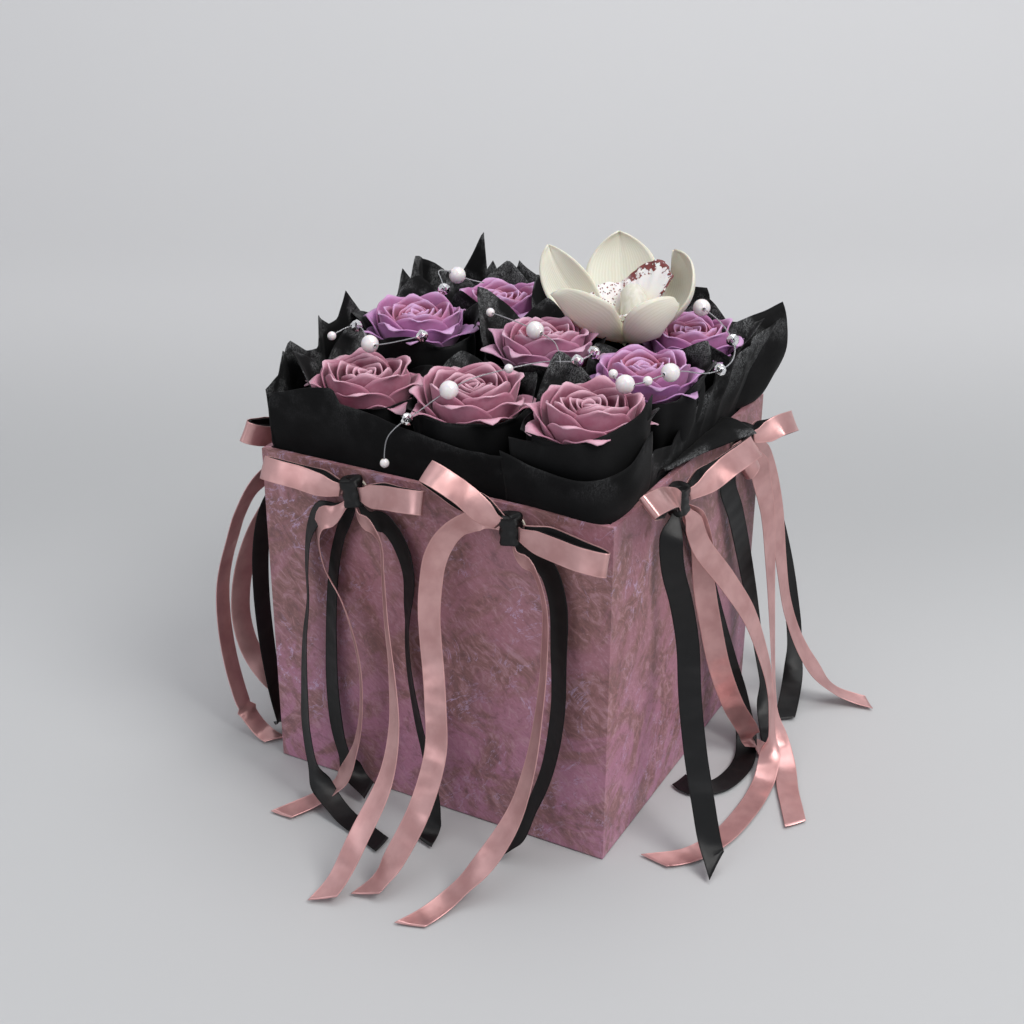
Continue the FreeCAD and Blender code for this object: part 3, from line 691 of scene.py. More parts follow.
def pearl_stuff():
    """Pearl bead: white lustre coat over a warm body, with very faint clouding."""
    n = Nodes("pearl")
    at = n.position()
    body = n.mix(n.ramp(n.noise(at, 0.3, 3.0), 0.3, 0.7), srgb(238, 232, 230), srgb(228, 222, 226))
    n.set(Base_Color=body, Roughness=0.24, Normal=n.bump(n.noise(at, 1.2, 3.0), 0.04, 0.1))
    n.set(Coat_Weight=0.9, Coat_Roughness=0.07, Subsurface_Weight=0.15)
    n.set(Subsurface_Scale=1.0 * MM, Specular_IOR_Level=0.7)
    return n.material


def crystal_stuff():
    n = Nodes("crystal")
    at = n.position()
    tint = n.mix(n.noise(at, 0.25), srgb(240, 241, 244), srgb(250, 250, 252))
    n.set(Base_Color=tint, Roughness=0.02, Transmission_Weight=1.0, IOR=1.5)
    n.set(Normal=n.bump(n.noise(at, 0.8, 3.0), 0.02, 0.05))
    return n.material


def add_garlands():
    line_finish = line_stuff()
    pearl_finish = pearl_stuff()
    crystal_finish = crystal_stuff()
    for name, garland in garlands.items():
        route = garland["route"]
        line = open_line("garland_%s_line_cord" % name, route, LINE_DIAMETER / 2)
        line.data.materials.append(line_finish)
        place(line, "clear_line", "garland_%s_line" % name)
        points = line_points(route)
        run = arc_lengths(points)
        pearls = Shape()
        stones = Shape()
        for kind, share in garland["beads"]:
            at = share * run[-1]
            centre, ahead, behind = at_lengths(points, run, [at, at + 1.0, at - 1.0])
            axis = unit(ahead - behind)
            if kind == "crystal":
                add_gem(stones, CRYSTAL_RADIUS, centre, axis)
            else:
                add_ball(pearls, PEARL_RADIUS if kind == "pearl" else SEED_RADIUS, centre, axis)
        with_pieces = [pearls.make("pearls_" + name, pearl_finish)]
        place(with_pieces[0], "pearl", "garland_%s_pearls" % name)
        if stones.count:
            gems = stones.make("crystals_" + name, crystal_finish, smooth=False)
            place(gems, "crystal", "garland_%s_crystals" % name)
            with_pieces.append(gems)


# ---- ribbons -------------------------------------------------------------------------------------
# Bows of the front wall: knot along the wall; lean of the knot in degrees; ears as (tip along the
# wall from the knot, out from the wall, up from the knot, roll of the loop's face in degrees);
# tails as (degrees that the ribbon is turned about the vertical, spread evenly from the knot to the
# end; slant of the cut end in millimetres; points along the wall, out, up).
front_bows = {
    "left": {
        "knot": -34, "tilt": 14,
        "ears": ((-41, 13, 6, 24), (40, 14, 7, 22)),
        "rose": (
            ((-18, -45, -54, -47, -50, -50, -20, 0), 5,
             ((-42, 9, 141), (-48, 9.5, 138), (-51, 9, 129), (-48, 9, 114), (-39, 10, 100),
              (-32, 12, 84), (-28, 14, 66), (-29, 16, 39), (-34, 19, 20), (-41, 22, 8),
              (-48, 28, 3), (-53, 36, 1.8), (-57, 44, 1.4))),
            ((-50, -50, -44, -25, -9, 0), 8,
             ((-29, 9, 143), (-22, 10, 140), (-17, 11, 134), (-15, 13, 122), (-11, 18, 103),
              (-3, 27, 82), (3, 36, 62), (5, 47, 44), (1, 62, 24), (-3, 75, 7), (-6, 86, 1.4))),
        ),
        "black": (
            ((-25, -45, -50, -40, -30, -20, 0), 4,
             ((-43, 6, 141), (-51, 6, 139), (-57, 6, 129), (-59, 7, 112), (-58, 9, 95),
              (-58, 13, 78), (-57, 17, 51), (-55, 20, 34), (-47, 25, 15), (-30, 30, 3),
              (-16, 34, 1.4), (-2, 39, 1.4))),
            ((-47, -33, -27, -18, -25), 4,
             ((-35, 3, 144), (-41, 3, 134), (-46, 3, 118), (-49, 3, 98), (-50, 4, 76),
              (-50, 5, 47), (-46, 7, 24), (-38, 9, 10), (-27, 11, 3.5))),
            ((-9, -18, -50, -41, -32, 0), -4,
             ((-27, 4, 141), (-19, 4, 140), (-12, 4, 132), (-8, 4, 118), (-9, 4.5, 98),
              (-8, 6, 76), (-2, 9, 50), (5, 12, 29), (9, 16, 13), (10, 21, 4), (11, 30, 1.4))),
        ),
    },
    "right": {
        "knot": 42, "tilt": 8,
        "ears": ((-32, 18, 24, 48), (47.5, 15, -0.5, 10)),
        "rose": (
            ((0, 50, 16, 10, 10, 8, 5, 0, 0), 9,
             ((38, 7, 153), (32.5, 12, 157), (26, 13.5, 154.5), (21, 14.5, 151),
              (16, 15, 144.5), (12.5, 16, 136), (11, 17, 125), (10.5, 18, 112),
              (12.5, 20.5, 100), (16, 24.5, 88), (20, 30, 76), (24, 37, 59), (23, 48, 38),
              (18, 58, 20), (12, 66, 6), (7, 75, 1.4))),
            ((-50, -50, -47, -32, -9, 0), 8,
             ((46, 8, 143), (54, 9, 139), (60, 10, 125), (62, 13, 102), (63, 19, 79),
              (63, 27, 57), (60, 35, 37), (52, 45, 18), (43, 56, 5), (38, 68, 1.4),
              (33, 81, 1.4))),
        ),
        "black": (
            ((0, -13, -25, -32, -47, -20), 5,
             ((47, 3.5, 142), (57, 3.5, 138), (63, 4, 124), (65, 6, 100), (66, 8, 74),
              (63, 11, 46), (57, 14, 26), (50, 17, 9), (42, 21, 1.4))),
        ),
    },
}

side_bows = {
    "left": {
        "knot": -30, "tilt": 0,
        "ears": ((-54, 14, 20, 48), (47, 21, 10, 42)),
        "rose": (
            ((-28, -25, -5, 8, -10, -40, -62), 9,
             ((-26, 8, 144), (-14, 10, 124), (3, 17, 101), (12, 25, 82), (19, 30, 62),
              (22, 34, 45), (21, 37, 28), (16, 40, 13), (5, 42, 3), (-8, 43, 1.4),
              (-24, 43, 1.4), (-48, 40, 1.4), (-66, 32, 1.4), (-79, 17, 1.4))),
            ((-62, -62), 4,
             ((-22, 6.5, 144), (-6, 7, 122), (-4, 9, 99), (-1, 12, 79), (4, 16, 55),
              (13, 21, 31), (22, 26, 14), (26, 28, 5), (27, 33, 2), (23, 39, 1.4))),
        ),
        "black": (
            ((-62, -62), 10,
             ((-37, 6, 144), (-42, 7, 138), (-43, 9, 125), (-39, 12, 108), (-39, 16, 89),
              (-46, 21, 69), (-54, 28, 47), (-62, 36, 28), (-67, 42, 13), (-74, 50, 2))),
            ((0, -15, -28, -28, -40), 4,
             ((-22, 3, 143), (0, 3, 118), (14, 4, 90), (25, 7, 62), (32, 11, 40), (36, 16, 21),
              (33, 21, 9), (25, 25, 3.5), (14, 28, 1.8), (1, 28, 1.4), (-12, 24, 1.4),
              (-19, 14, 1.4), (-14, 5, 1.4))),
        ),
    },
    "right": {
        "knot": 46, "tilt": 10,
        "ears": ((-22, 15, -6, 24), (30, 19, 1, 34)),
        "rose": (
            ((-62, -21, -2, 8, -8, -62), 5,
             ((50, 10, 143), (58, 11, 129), (66, 13, 108), (66, 16, 84), (60, 21, 58),
              (46, 29, 32), (32, 37, 14), (18, 47, 3), (2, 54, 1.4), (-12, 61, 1.4),
              (-24, 67, 1.4))),
            ((-35, -21, -8, 0, 0), 5,
             ((56, 9, 144), (68, 10, 131), (79, 13, 104), (81, 17, 76), (78, 23, 54),
              (78, 31, 35), (83, 40, 18), (88, 49, 7), (92, 58, 2.8), (94, 68, 1.4))),
        ),
        "black": (
            ((-28, -20, -5, 8), 4,
             ((40, 3, 143), (34, 3, 134), (42, 5, 116), (56, 7, 84), (64, 10, 56),
              (64, 15, 32), (57, 22, 13), (46, 29, 3), (34, 35, 1.4))),
            ((0, -28, -28, -62), 5,
             ((58, 4, 143), (78, 5, 118), (94, 8, 92), (103, 12, 66), (105, 16, 46),
              (101, 21, 28), (86, 27, 12), (68, 31, 3), (56, 33, 1.4))),
        ),
    },
}

left_front_bow = {
    "knot": 46, "tilt": 0,
    "ears": ((33, 14, 11, 18), (-26, 17, 4, 18)),
    "rose": (
        ((0, 0), 5,
         ((51, 10, 141), (61, 13, 138), (70, 18, 131), (74, 24, 118), (75, 29, 104),
          (75, 34, 90), (75, 37, 77), (75, 38, 61), (75, 37, 44), (75, 34, 27), (76, 28, 12),
          (77, 18, 3), (79, 7, 1.4))),
        ((-24, -24), 4,
         ((42, 9, 143), (51, 12, 133), (60, 16, 120), (64, 23, 106), (66, 29, 90),
          (67, 33, 72), (68, 33, 57), (69, 28, 42), (69, 18, 30), (62, 11, 18), (50, 11, 6),
          (38, 13, 1.4))),
    ),
    "black": (
        ((-13, -13, -5, 13), 4,
         ((53, 4, 141), (64, 5, 135), (72, 9, 124), (74, 13, 105), (75, 14, 82), (75, 13, 54),
          (75, 10, 28), (72, 9, 10), (64, 15, 2))),
    ),
}

bows = (                                    # name, quarter turns from the front wall, bow
    ("front_left", 0, front_bows["left"]),
    ("front_right", 0, front_bows["right"]),
    ("right_front", 1, side_bows["left"]),
    ("right_back", 1, side_bows["right"]),
    ("back_right", 2, front_bows["left"]),
    ("back_left", 2, front_bows["right"]),
    ("left_back", 3, side_bows["left"]),
    ("left_front", 3, left_front_bow),
)


def quarter_turned(points, turns):
    p = np.array(points, float)
    for _ in range(turns):
        p = np.stack([-p[..., 1], p[..., 0], p[..., 2]], axis=-1)
    return p


def on_wall(turns, points):
    """From (along, out from the wall, up) to the frame of the box."""
    p = np.array(points, float)
    return quarter_turned(np.stack([p[..., 0], -(HALF + p[..., 1]), p[..., 2]], axis=-1), turns)


ACROSS = np.array([-1.0, -0.93, -0.86, -0.5, 0.0, 0.5, 0.86, 0.93, 1.0])


def add_strip(shape, line, widths, slant=0.0, narrow=None, cup=0.35):
    """Ribbon along a line of points, its width in the given direction at each; slant cuts its end
    aslant, and narrow is the share of its width that shows at each point.  Gives its length."""
    run = arc_lengths(line)
    ahead = headings(line)
    across = square_to(widths, ahead)
    normal = np.cross(ahead, across)
    share = np.ones(len(line)) if narrow is None else narrow
    grid = np.zeros((len(line), len(ACROSS), 3))
    along = np.zeros(grid.shape[:2])
    near_end = smoothstep(run[-1] - SLANT_RUN, run[-1], run)
    for j, side in enumerate(ACROSS):
        cut_back = (1.0 + side) / 2.0 if slant > 0 else (side - 1.0) / 2.0
        places = run - near_end * slant * cut_back
        centre = at_lengths(line, run, places)
        direction = at_lengths(across, run, places)
        facing = at_lengths(normal, run, places)
        reach = np.interp(places, run, share) * RIBBON_WIDTH / 2
        dip = cup * (side * side - 0.4)
        grid[:, j] = centre + direction * (side * reach)[:, None] + facing * dip
        along[:, j] = places
    weave = np.broadcast_to(across[:, None], grid.shape)
    shape.add_grid(grid, across=np.broadcast_to(ACROSS, along.shape), along=along,
                   weft_x=weave[..., 0], weft_y=weave[..., 1], weft_z=weave[..., 2])
    return run[-1]


def hanging_widths(line, twists, turns):
    """Direction of a tail's width: turned about the vertical as it hangs, level on the table."""
    share = np.linspace(0.0, 1.0, len(line))
    angle = np.radians(np.interp(share, np.linspace(0.0, 1.0, len(twists)), twists))
    facing = np.stack([np.sin(angle), -np.cos(angle), np.zeros(len(line))], axis=-1)
    facing = quarter_turned(facing, turns)
    ahead = headings(line)
    lying = 1.0 - smoothstep(LYING_LEVEL, HANGING_LEVEL, line[:, 2])
    lying *= 1.0 - smoothstep(0.8, 0.99, np.abs(ahead[:, 2]))
    facing = facing * (1.0 - lying)[:, None]
    facing[:, 2] += 1.4 * lying
    widths = unit(np.cross(facing, ahead))
    for k in range(1, len(widths)):
        if widths[k] @ widths[k - 1] < 0:
            widths[k] = -widths[k]
    return widths


def add_tail(shape, turns, knot_along, tail):
    twists, slant, points = tail
    p = np.array(points, float)
    p[:, 2] *= KNOT_LEVEL / TAIL_KNOT_LEVEL
    p = np.vstack([(knot_along, KNOT_OUT - 1.0, KNOT_LEVEL - 2.0), p])
    line = on_wall(turns, smooth_line(p, 90))
    line[:, 2] = np.maximum(line[:, 2], TABLE_LIFT)
    pinched = PINCH + (1.0 - PINCH) * smoothstep(4.0, PINCH_END, arc_lengths(line))
    return add_strip(shape, line, hanging_widths(line, twists, turns), slant, narrow=pinched)


# One strand of an ear: (share of the way from the knot to the tip, share of the bulge).
ear_strand = ((0.14, 0.30), (0.24, 0.62), (0.38, 0.92), (0.58, 1.0), (0.76, 0.9), (0.9, 0.66),
              (0.975, 0.32))


EAR_ROWS = 70


def add_ear(shape, knot, tip, outward, roll, inset, wobble):
    """Flattened loop from the knot to its tip, rolled back so that its face turns upwards."""
    axis = tip - knot
    reach = np.linalg.norm(axis) - inset
    axis = unit(axis)
    swell = square_to(outward, axis)
    across = np.cross(axis, swell)
    across *= np.sign(across[2])
    path = list(ear_strand) + [(1.0, 0.0)] + [(s, -b) for s, b in reversed(ear_strand)]
    first = KNOT_WIDTH / 2 + EAR_START + inset
    nearest = ear_strand[0][0]
    bulge = EAR_BULGE - inset
    points = []
    widths = []
    for s, b in path:
        along = first + (reach - first) * (s - nearest) / (1.0 - nearest)
        ripple = 1.0 * math.sin(9.0 * s + wobble) * (1.0 - abs(2 * s - 1.1))
        turn = math.radians(roll) * smoothstep(0.1, 0.6, s)
        rolled = swell * math.cos(turn) + across * math.sin(turn)
        points.append(knot + axis * along + rolled * (b * bulge + ripple))
        widths.append(across * math.cos(turn) - swell * math.sin(turn))
    line = smooth_line(points, EAR_ROWS)
    run = arc_lengths(line)
    reached = arc_lengths(np.array(points))
    widths = at_lengths(np.array(widths), reached * (run[-1] / reached[-1]), run)
    share = np.abs(np.linspace(-1.0, 1.0, EAR_ROWS))
    narrow = 1.0 - 0.38 * smoothstep(0.72, 1.0, share)
    return add_strip(shape, line, widths, narrow=narrow, cup=0.2)


KNOT_SQUARENESS = 3.2                       # 2 would make it round


def add_knot(shape, knot, outward, tilt):
    """Band pulled tight round the middle of a bow: pinched waist and creases."""
    up = np.array((0.0, 0.0, 1.0))
    side = np.cross(outward, up)
    lean = math.radians(tilt)
    tall = up * math.cos(lean) + side * math.sin(lean)
    wide = side * math.cos(lean) - up * math.sin(lean)
    rows = 17
    columns = 44
    grid = np.zeros((rows, columns, 3))
    along = np.zeros((rows, columns))
    across = np.zeros((rows, columns))
    for i in range(rows):
        level = min(max((i - 2) / (rows - 5), 0.0), 1.0) * 2.0 - 1.0
        inward = {0: 0.55, 1: 0.86, rows - 2: 0.86, rows - 1: 0.55}.get(i, 1.0)
        for j in range(columns):
            a = 2 * math.pi * j / columns
            crease = (0.05 * math.cos(9 * level + 2.0 * math.sin(a))
                      + 0.03 * math.sin(5 * a + 4 * level))
            waist = 0.90 + 0.10 * level * level
            r = (waist + crease) * inward
            square = (abs(math.cos(a)) ** KNOT_SQUARENESS
                      + abs(math.sin(a)) ** KNOT_SQUARENESS) ** (-1 / KNOT_SQUARENESS)
            x = math.cos(a) * r * square * KNOT_WIDTH / 2
            y = math.sin(a) * r * square * KNOT_DEPTH / 2
            z = level * KNOT_HEIGHT / 2 * (1.0 + 0.06 * math.cos(a + 1.0))
            grid[i, j] = knot + wide * x + outward * y + tall * z
            along[i, j] = a * 5.0
            across[i, j] = level
    first = shape.count
    weft = np.broadcast_to(tall, grid.shape)
    shape.add_grid(grid, around=True, across=across, along=along,
                   weft_x=weft[..., 0], weft_y=weft[..., 1], weft_z=weft[..., 2])
    shape.close_ends(first, rows, columns)


def add_bows():
    rose_finish = satin("rose_satin", srgb(218, 172, 170), srgb(196, 148, 146), 0.33, 0.72)
    black_finish = satin("black_satin", srgb(12, 12, 13), srgb(8, 8, 9), 0.45, 0.3)
    knots = Shape()
    for name, turns, bow in bows:
        knot = on_wall(turns, (bow["knot"], KNOT_OUT, KNOT_LEVEL))
        outward = quarter_turned((0.0, -1.0, 0.0), turns)
        add_knot(knots, knot, outward, bow["tilt"])
        for colour, finish, inset in (("rose", rose_finish, 0.0),
                                      ("black", black_finish, EAR_LAYER)):
            ribbon = Shape()
            length = 0.0
            for count, (along, out, up, roll) in enumerate(bow["ears"]):
                tip = on_wall(turns, (bow["knot"] + along, out, KNOT_LEVEL + up))
                length += add_ear(ribbon, knot, tip, outward, roll, inset, count + turns)
            for tail in bow[colour]:
                length += add_tail(ribbon, turns, bow["knot"], tail)
            piece = ribbon.make("ribbon_%s_%s" % (name, colour), finish, RIBBON_THICKNESS)
            place(piece, colour + "_satin", "bow_%s_%s" % (name, colour))
    place(knots.make("bow_knots_bands", black_finish), "black_satin", "bow_knots")


# ---- roses ---------------------------------------------------------------------------------------
# Heads as they sit: CAD node, middle, top of the heart, size, turn, colour.
heads = {
    "front_left": (-52, -51, 193, 1.0, 20, "pink"),
    "front_centre": (3, -53, 197, 1.0, 75, "pink"),
    "front_right": (58, -53, 199, 1.0, 140, "pink"),
    "middle_left": (-55, -2, 206, 0.97, 205, "violet"),
    "middle_centre": (9, 2, 205, 0.97, 60, "mixed"),
    "middle_right": (60, -3, 200, 0.97, 320, "violet"),
    "back_left": (-41, 54, 201, 0.98, 110, "violet"),
    "back_right": (59, 52, 200, 0.92, 10, "violet"),
}

# Rings from the heart outwards: petals, radius of the rim, height of the rim from the top of the
# heart, half the angle a petal spans, how far one side lies outside the other, wave of the rim,
# and how the wall runs up to it: (radius share, height) of its two middle guides.
rings = (
    (2, 2.4, -1.2, 150, 0.9, 0.1, ((0.9, -18), (1.1, -9))),
    (3, 4.6, -0.8, 100, 1.1, 0.2, ((1.1, -19), (1.2, -9))),
    (3, 7.4, 0.0, 92, 1.3, 0.3, ((1.2, -20), (1.25, -9))),
    (4, 10.6, 1.2, 72, 1.4, 0.4, ((1.25, -21), (1.22, -9))),
    (4, 14.4, 2.2, 68, 1.6, 0.6, ((1.2, -22), (1.08, -8))),
    (5, 19.6, 1.4, 54, 1.6, 1.0, ((1.05, -23), (0.86, -3))),
    (5, 25.0, -3.6, 50, 1.4, 1.3, ((0.9, -24), (0.66, -3.5))),
    (5, 28.0, -9.5, 46, 1.2, 1.6, ((0.75, -26), (0.62, -7.5))),
)
PETAL_FOOT = -23.0
PETAL_THICKNESS = 0.55


def bezier(a, b, c, d, t):
    s = 1.0 - t
    return a * s**3 + 3 * b * t * s**2 + 3 * c * t**2 * s + d * t**3


def add_petal(shape, ring, index, size, spin, chance):
    count, radius, rise, spread, lap, wave, guides = rings[ring]
    rows = 15
    columns = 21 if ring else 31
    u = np.linspace(-1.0, 1.0, columns)[None, :]
    v = np.linspace(0.0, 1.0, rows)[:, None]
    depth = ring / (len(rings) - 1.0)
    pointed = 0.03 + 0.08 * depth
    outline = 1.0 - (0.16 + 0.2 * depth) * np.abs(u) ** 2.6 - pointed * (1 - np.exp(-(u / 0.2)**2))
    t = v * outline
    rim_r = radius * chance.uniform(0.96, 1.05)
    rim_z = rise + chance.uniform(-1.0, 1.0) * (0.3 + depth)
    (r1, z1), (r2, z2) = guides
    foot = 1.2 + 3.0 * depth
    r = bezier(foot, rim_r * r1, rim_r * r2, rim_r, t)
    z = bezier(PETAL_FOOT - 2 * depth, z1, z2 + rim_z - rise, rim_z, t)
    phase = chance.uniform(0.0, 6.28)
    phase2 = chance.uniform(0.0, 6.28)
    edge = t ** 5
    z = z + wave * edge * (np.sin(5.2 * u + phase) + 0.45 * np.sin(11.0 * u + phase2))
    r = r + wave * edge * 0.7 * np.cos(6.1 * u + phase2)
    roll = np.clip((t - 0.86) / 0.14, 0.0, 1.0) ** 2
    r = r + roll * (0.5 + 1.0 * depth)
    z = z - roll * (0.2 + 1.0 * depth)
    r = r + lap * u * (0.35 + 0.65 * t)
    middle = spin + 2 * math.pi * index / count + chance.uniform(-0.09, 0.09)
    angle = middle + u * math.radians(spread) * (0.9 + 0.1 * t)
    grid = np.stack([r * np.cos(angle), r * np.sin(angle), z + 0 * u], axis=-1)
    rim = np.clip((t - 0.55) / 0.45, 0.0, 1.0) ** 2.2
    side_edge = np.clip((np.abs(u) - 0.8) / 0.2, 0.0, 1.0) * 0.5 * v
    # shade is painted shade: full at the petal's foot, fading out four fifths of the way up it.
    shape.add_grid(grid * size, rim=np.maximum(rim, side_edge), layer=depth + 0 * t,
                   shade=np.clip(1.0 - t * 1.25, 0.0, 1.0), vein=u + 0 * t)


def add_roses():
    finishes = {
        "pink": petal_stuff("rose_pink", srgb(134, 60, 84), srgb(190, 128, 150),
                            srgb(220, 174, 190)),
        "violet": petal_stuff("rose_violet", srgb(180, 98, 124), srgb(180, 124, 182),
                              srgb(206, 164, 206)),
        "mixed": petal_stuff("rose_mixed", srgb(174, 90, 114), srgb(184, 130, 162),
                             srgb(210, 170, 190)),
    }
    for order, (name, (x, y, top, size, turn, colour)) in enumerate(heads.items()):
        chance = np.random.default_rng(40 + order)
        rose = Shape()
        spin = math.radians(turn)
        for ring, values in enumerate(rings):
            spin += math.radians(137.5 / 2) + math.pi / values[0]
            for index in range(values[0]):
                add_petal(rose, ring, index, size, spin, chance)
        rose.vertices = [v + np.array((x, y, top)) for v in rose.vertices]
        piece = rose.make("rose_head_" + name, finishes[colour], PETAL_THICKNESS)
        slot = "rose_pink" if name.startswith("front") else "rose_violet"
        place(piece, slot, "rose_" + name)


# ---- wraps ---------------------------------------------------------------------------------------
FOAM_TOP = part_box("foam_block")[1].z / MM
WRAP_THICKNESS = 0.3
WRAP_CUP = 0.62                             # share of a wrap's height that is the cup
WRAP_NECK = 2.6                             # radius at the foot
WRAP_RIM = 25.4
WRAP_CORNER_SPAN = 44.0                     # degrees to each side of a corner that rise to it
# Four corners of each wrap: direction, height of its tip over the flower, lean outwards.
wraps = {
    "front_left": (-52, -50, 193, ((45, -2, 2), (134, 10, 5), (205, 7, 4), (300, -9, 0))),
    "front_centre": (3, -52, 197, ((60, -1, 3), (128, 3, 4), (225, -9, 0), (318, -10, 0))),
    "front_right": (57, -52, 198, ((8, 1, 1), (139, 11, 4), (225, -11, 0), (300, -9, 0))),
    "middle_left": (-54, -1, 205, ((40, 3, 3), (124, 8, 4), (205, -1, 4), (285, -3, 2))),
    "middle_centre": (8, 1, 203, ((50, -3, 3), (112, 8, 1), (168, 15, 9), (290, -4, 2))),
    "middle_right": (60, -3, 200, ((8, 4, 3), (52, 6, 2), (158, 1, 3), (235, 0, 2))),
    "back_left": (-43, 54, 200, ((20, 3, 2), (110, 8, 3), (170, 6, 4), (262, 9, 1))),
    "back_centre": (5, 55, 199, ((60, 4, 6), (110, 8, 3), (176, 13, 0), (300, -2, 2))),
    "back_right": (59, 54, 199, ((20, 6, 3), (100, 6, 1), (200, 0, 2), (300, 3, 2))),
}


def corner_share(angle, direction, width):
    """1 at a corner of the sheet, falling to 0 at the given angle to each side."""
    apart = np.abs((angle - direction + 180.0) % 360.0 - 180.0)
    return np.clip(1.0 - apart / width, 0.0, 1.0)


def wrap_grid(x, y, top, corners, seed):
    rows = 34
    columns = 120
    phi = np.linspace(0.0, 360.0, columns, endpoint=False)[None, :]
    v = np.linspace(0.0, 1.0, rows)[:, None]
    chance = np.random.default_rng(seed)
    cup = np.clip(v / WRAP_CUP, 0.0, 1.0)
    rise = np.clip((v - WRAP_CUP) / (1.0 - WRAP_CUP), 0.0, 1.0)
    r = bezier(WRAP_NECK, 12.0, WRAP_RIM, WRAP_RIM, cup) + 0 * phi
    z = bezier(FOAM_TOP + 2.0, top - 44.0, top - 36.0, top - 12.0, cup) + 0 * phi
    over = np.full(phi.shape, 2.0)
    lean = np.zeros(phi.shape)
    fold = np.zeros(phi.shape)
    for direction, height, out in corners:
        share = corner_share(phi, direction, WRAP_CORNER_SPAN)
        peak = (height + 11.0) * (1.0 - (1.0 - share) ** 1.25)
        over = np.maximum(over, np.where(share > 0, peak, 0.0))
        lean = lean + out * share ** 1.5
        fold = fold + 3.2 * share ** 2
    z = z + over * rise
    r = r + (lean * rise ** 1.4) + fold * rise - 1.2 * np.sin(math.pi * rise) * (over > 8)
    pleats = 0.0
    for count, depth in ((9, 0.9), (14, 0.5), (5, 0.8)):
        pleats = pleats + depth * np.cos(np.radians(phi) * count + chance.uniform(0, 6.28))
    r = r + pleats * np.sin(math.pi * np.clip(v * 1.15, 0, 1)) * 0.9
    a = np.radians(phi)
    grid = np.stack([x + r * np.cos(a), y + r * np.sin(a), z + 0 * r], axis=-1)
    ripple = bumps(grid, 16.0, seed) * 1.3 * np.minimum(1.0, v * 2)
    grid[..., 0] += ripple * np.cos(a)
    grid[..., 1] += ripple * np.sin(a)
    grid[..., 2] += bumps(grid, 9.0, seed + 30) * 0.9 * rise
    return grid, np.clip(rise * 1.3 - 0.2, 0.0, 1.0) * np.clip(over / 14.0, 0.0, 1.0)


def add_wraps(finish):
    for order, (name, (x, y, top, corners)) in enumerate(wraps.items()):
        grid, rim = wrap_grid(x, y, top, corners, 3 + order)
        shape = Shape()
        shape.add_grid(grid, around=True, rim=rim)
        piece = shape.make("wrap_" + name, finish, WRAP_THICKNESS)
        place(piece, "black_nonwoven", "flower_wraps")


# ---- orchid --------------------------------------------------------------------------------------
ORCHID_FOOT = np.array((34.5, 36.5, 192.5))
ORCHID_AXIS = np.array((25.0, 47.0, 226.0))     # a point in the middle of the open flower
# Blades: tip, guide that bends the middle line, a point that its inner face looks towards, widest
# half-width, cupping, turn of the tip.
tepals = (
    ((-9, 40, 231.5), (1, 36, 209), (14, -16, 236), 11.0, 3.5, 1.0),
    ((14, 69, 234), (19, 63, 210), (25, 40, 224), 17.5, 5.0, -1.5),
    ((44, 70, 229.5), (67, 61, 204), (22, 26, 222), 16.0, 6.5, -2.0),
    ((5, 18.5, 216), (25, 7, 200), (25, 47, 226), 17.0, 8.0, 1.0),
    ((56, 45, 211), (56, 16, 199), (25, 47, 226), 17.0, 8.0, -1.0),
)
TEPAL_THICKNESS = 0.9
LIP_THICKNESS = 0.7
# Rim of the lip from its spotted left lobe round to the end of its large frilled lobe.
lip_rim = ((14.5, 36, 212), (16.5, 42, 215.5), (20, 48, 215.5), (23.5, 51.5, 215.5),
           (27, 54.5, 219), (33, 58, 224), (39.5, 59, 226), (45, 57, 223.5), (47.5, 53, 219.5),
           (45, 47, 214.5))
LIP_FOOT = np.array((33.5, 38.5, 198.0))
throat_rim = ((30, 31, 205.5), (34.5, 32, 206.5), (39.5, 35.5, 207.5), (43, 40.5, 209.5))


def tepal_grid(tip, guide, looks_at, half_width, cupping, curl):
    rows = 26
    columns = 19
    t = np.linspace(0.0, 1.0, rows)[:, None]
    u = np.linspace(-1.0, 1.0, columns)[None, :]
    line = (ORCHID_FOOT * (1 - t) ** 2 + np.array(guide, float) * 2 * t * (1 - t)
            + np.array(tip, float) * t ** 2)
    ahead = headings(line)
    inward = square_to(np.array(looks_at, float) - line, ahead)
    across = np.cross(ahead, inward)
    s = t[:, 0]
    width = half_width * (0.22 + 0.78 * smoothstep(0.0, 0.55, s)) \
        * np.clip(1.0 - np.clip((s - 0.5) / 0.5, 0, 1) ** 2.3, 0.0, 1.0) ** 0.8
    width = np.maximum(width, 0.15)
    cup = cupping * np.sin(math.pi * np.clip(s * 0.95, 0, 1)) ** 0.7
    keel = -0.35 * np.exp(-(u / 0.09) ** 2)
    ripple = 0.5 * np.sin(9.0 * t + 2.0 * np.sign(u)) * np.abs(u) ** 3
    rise = cup[:, None] * (np.abs(u) ** 1.9) + keel + ripple
    grid = (line[:, None] + across[:, None] * (u * width[:, None])[..., None]
            + inward[:, None] * rise[..., None])
    back = np.clip((t - 0.82) / 0.18, 0.0, 1.0) ** 2 * curl
    grid = grid - inward[:, None] * (back * (1 + 0 * u))[..., None]
    return grid, u + 0 * t, t + 0 * u


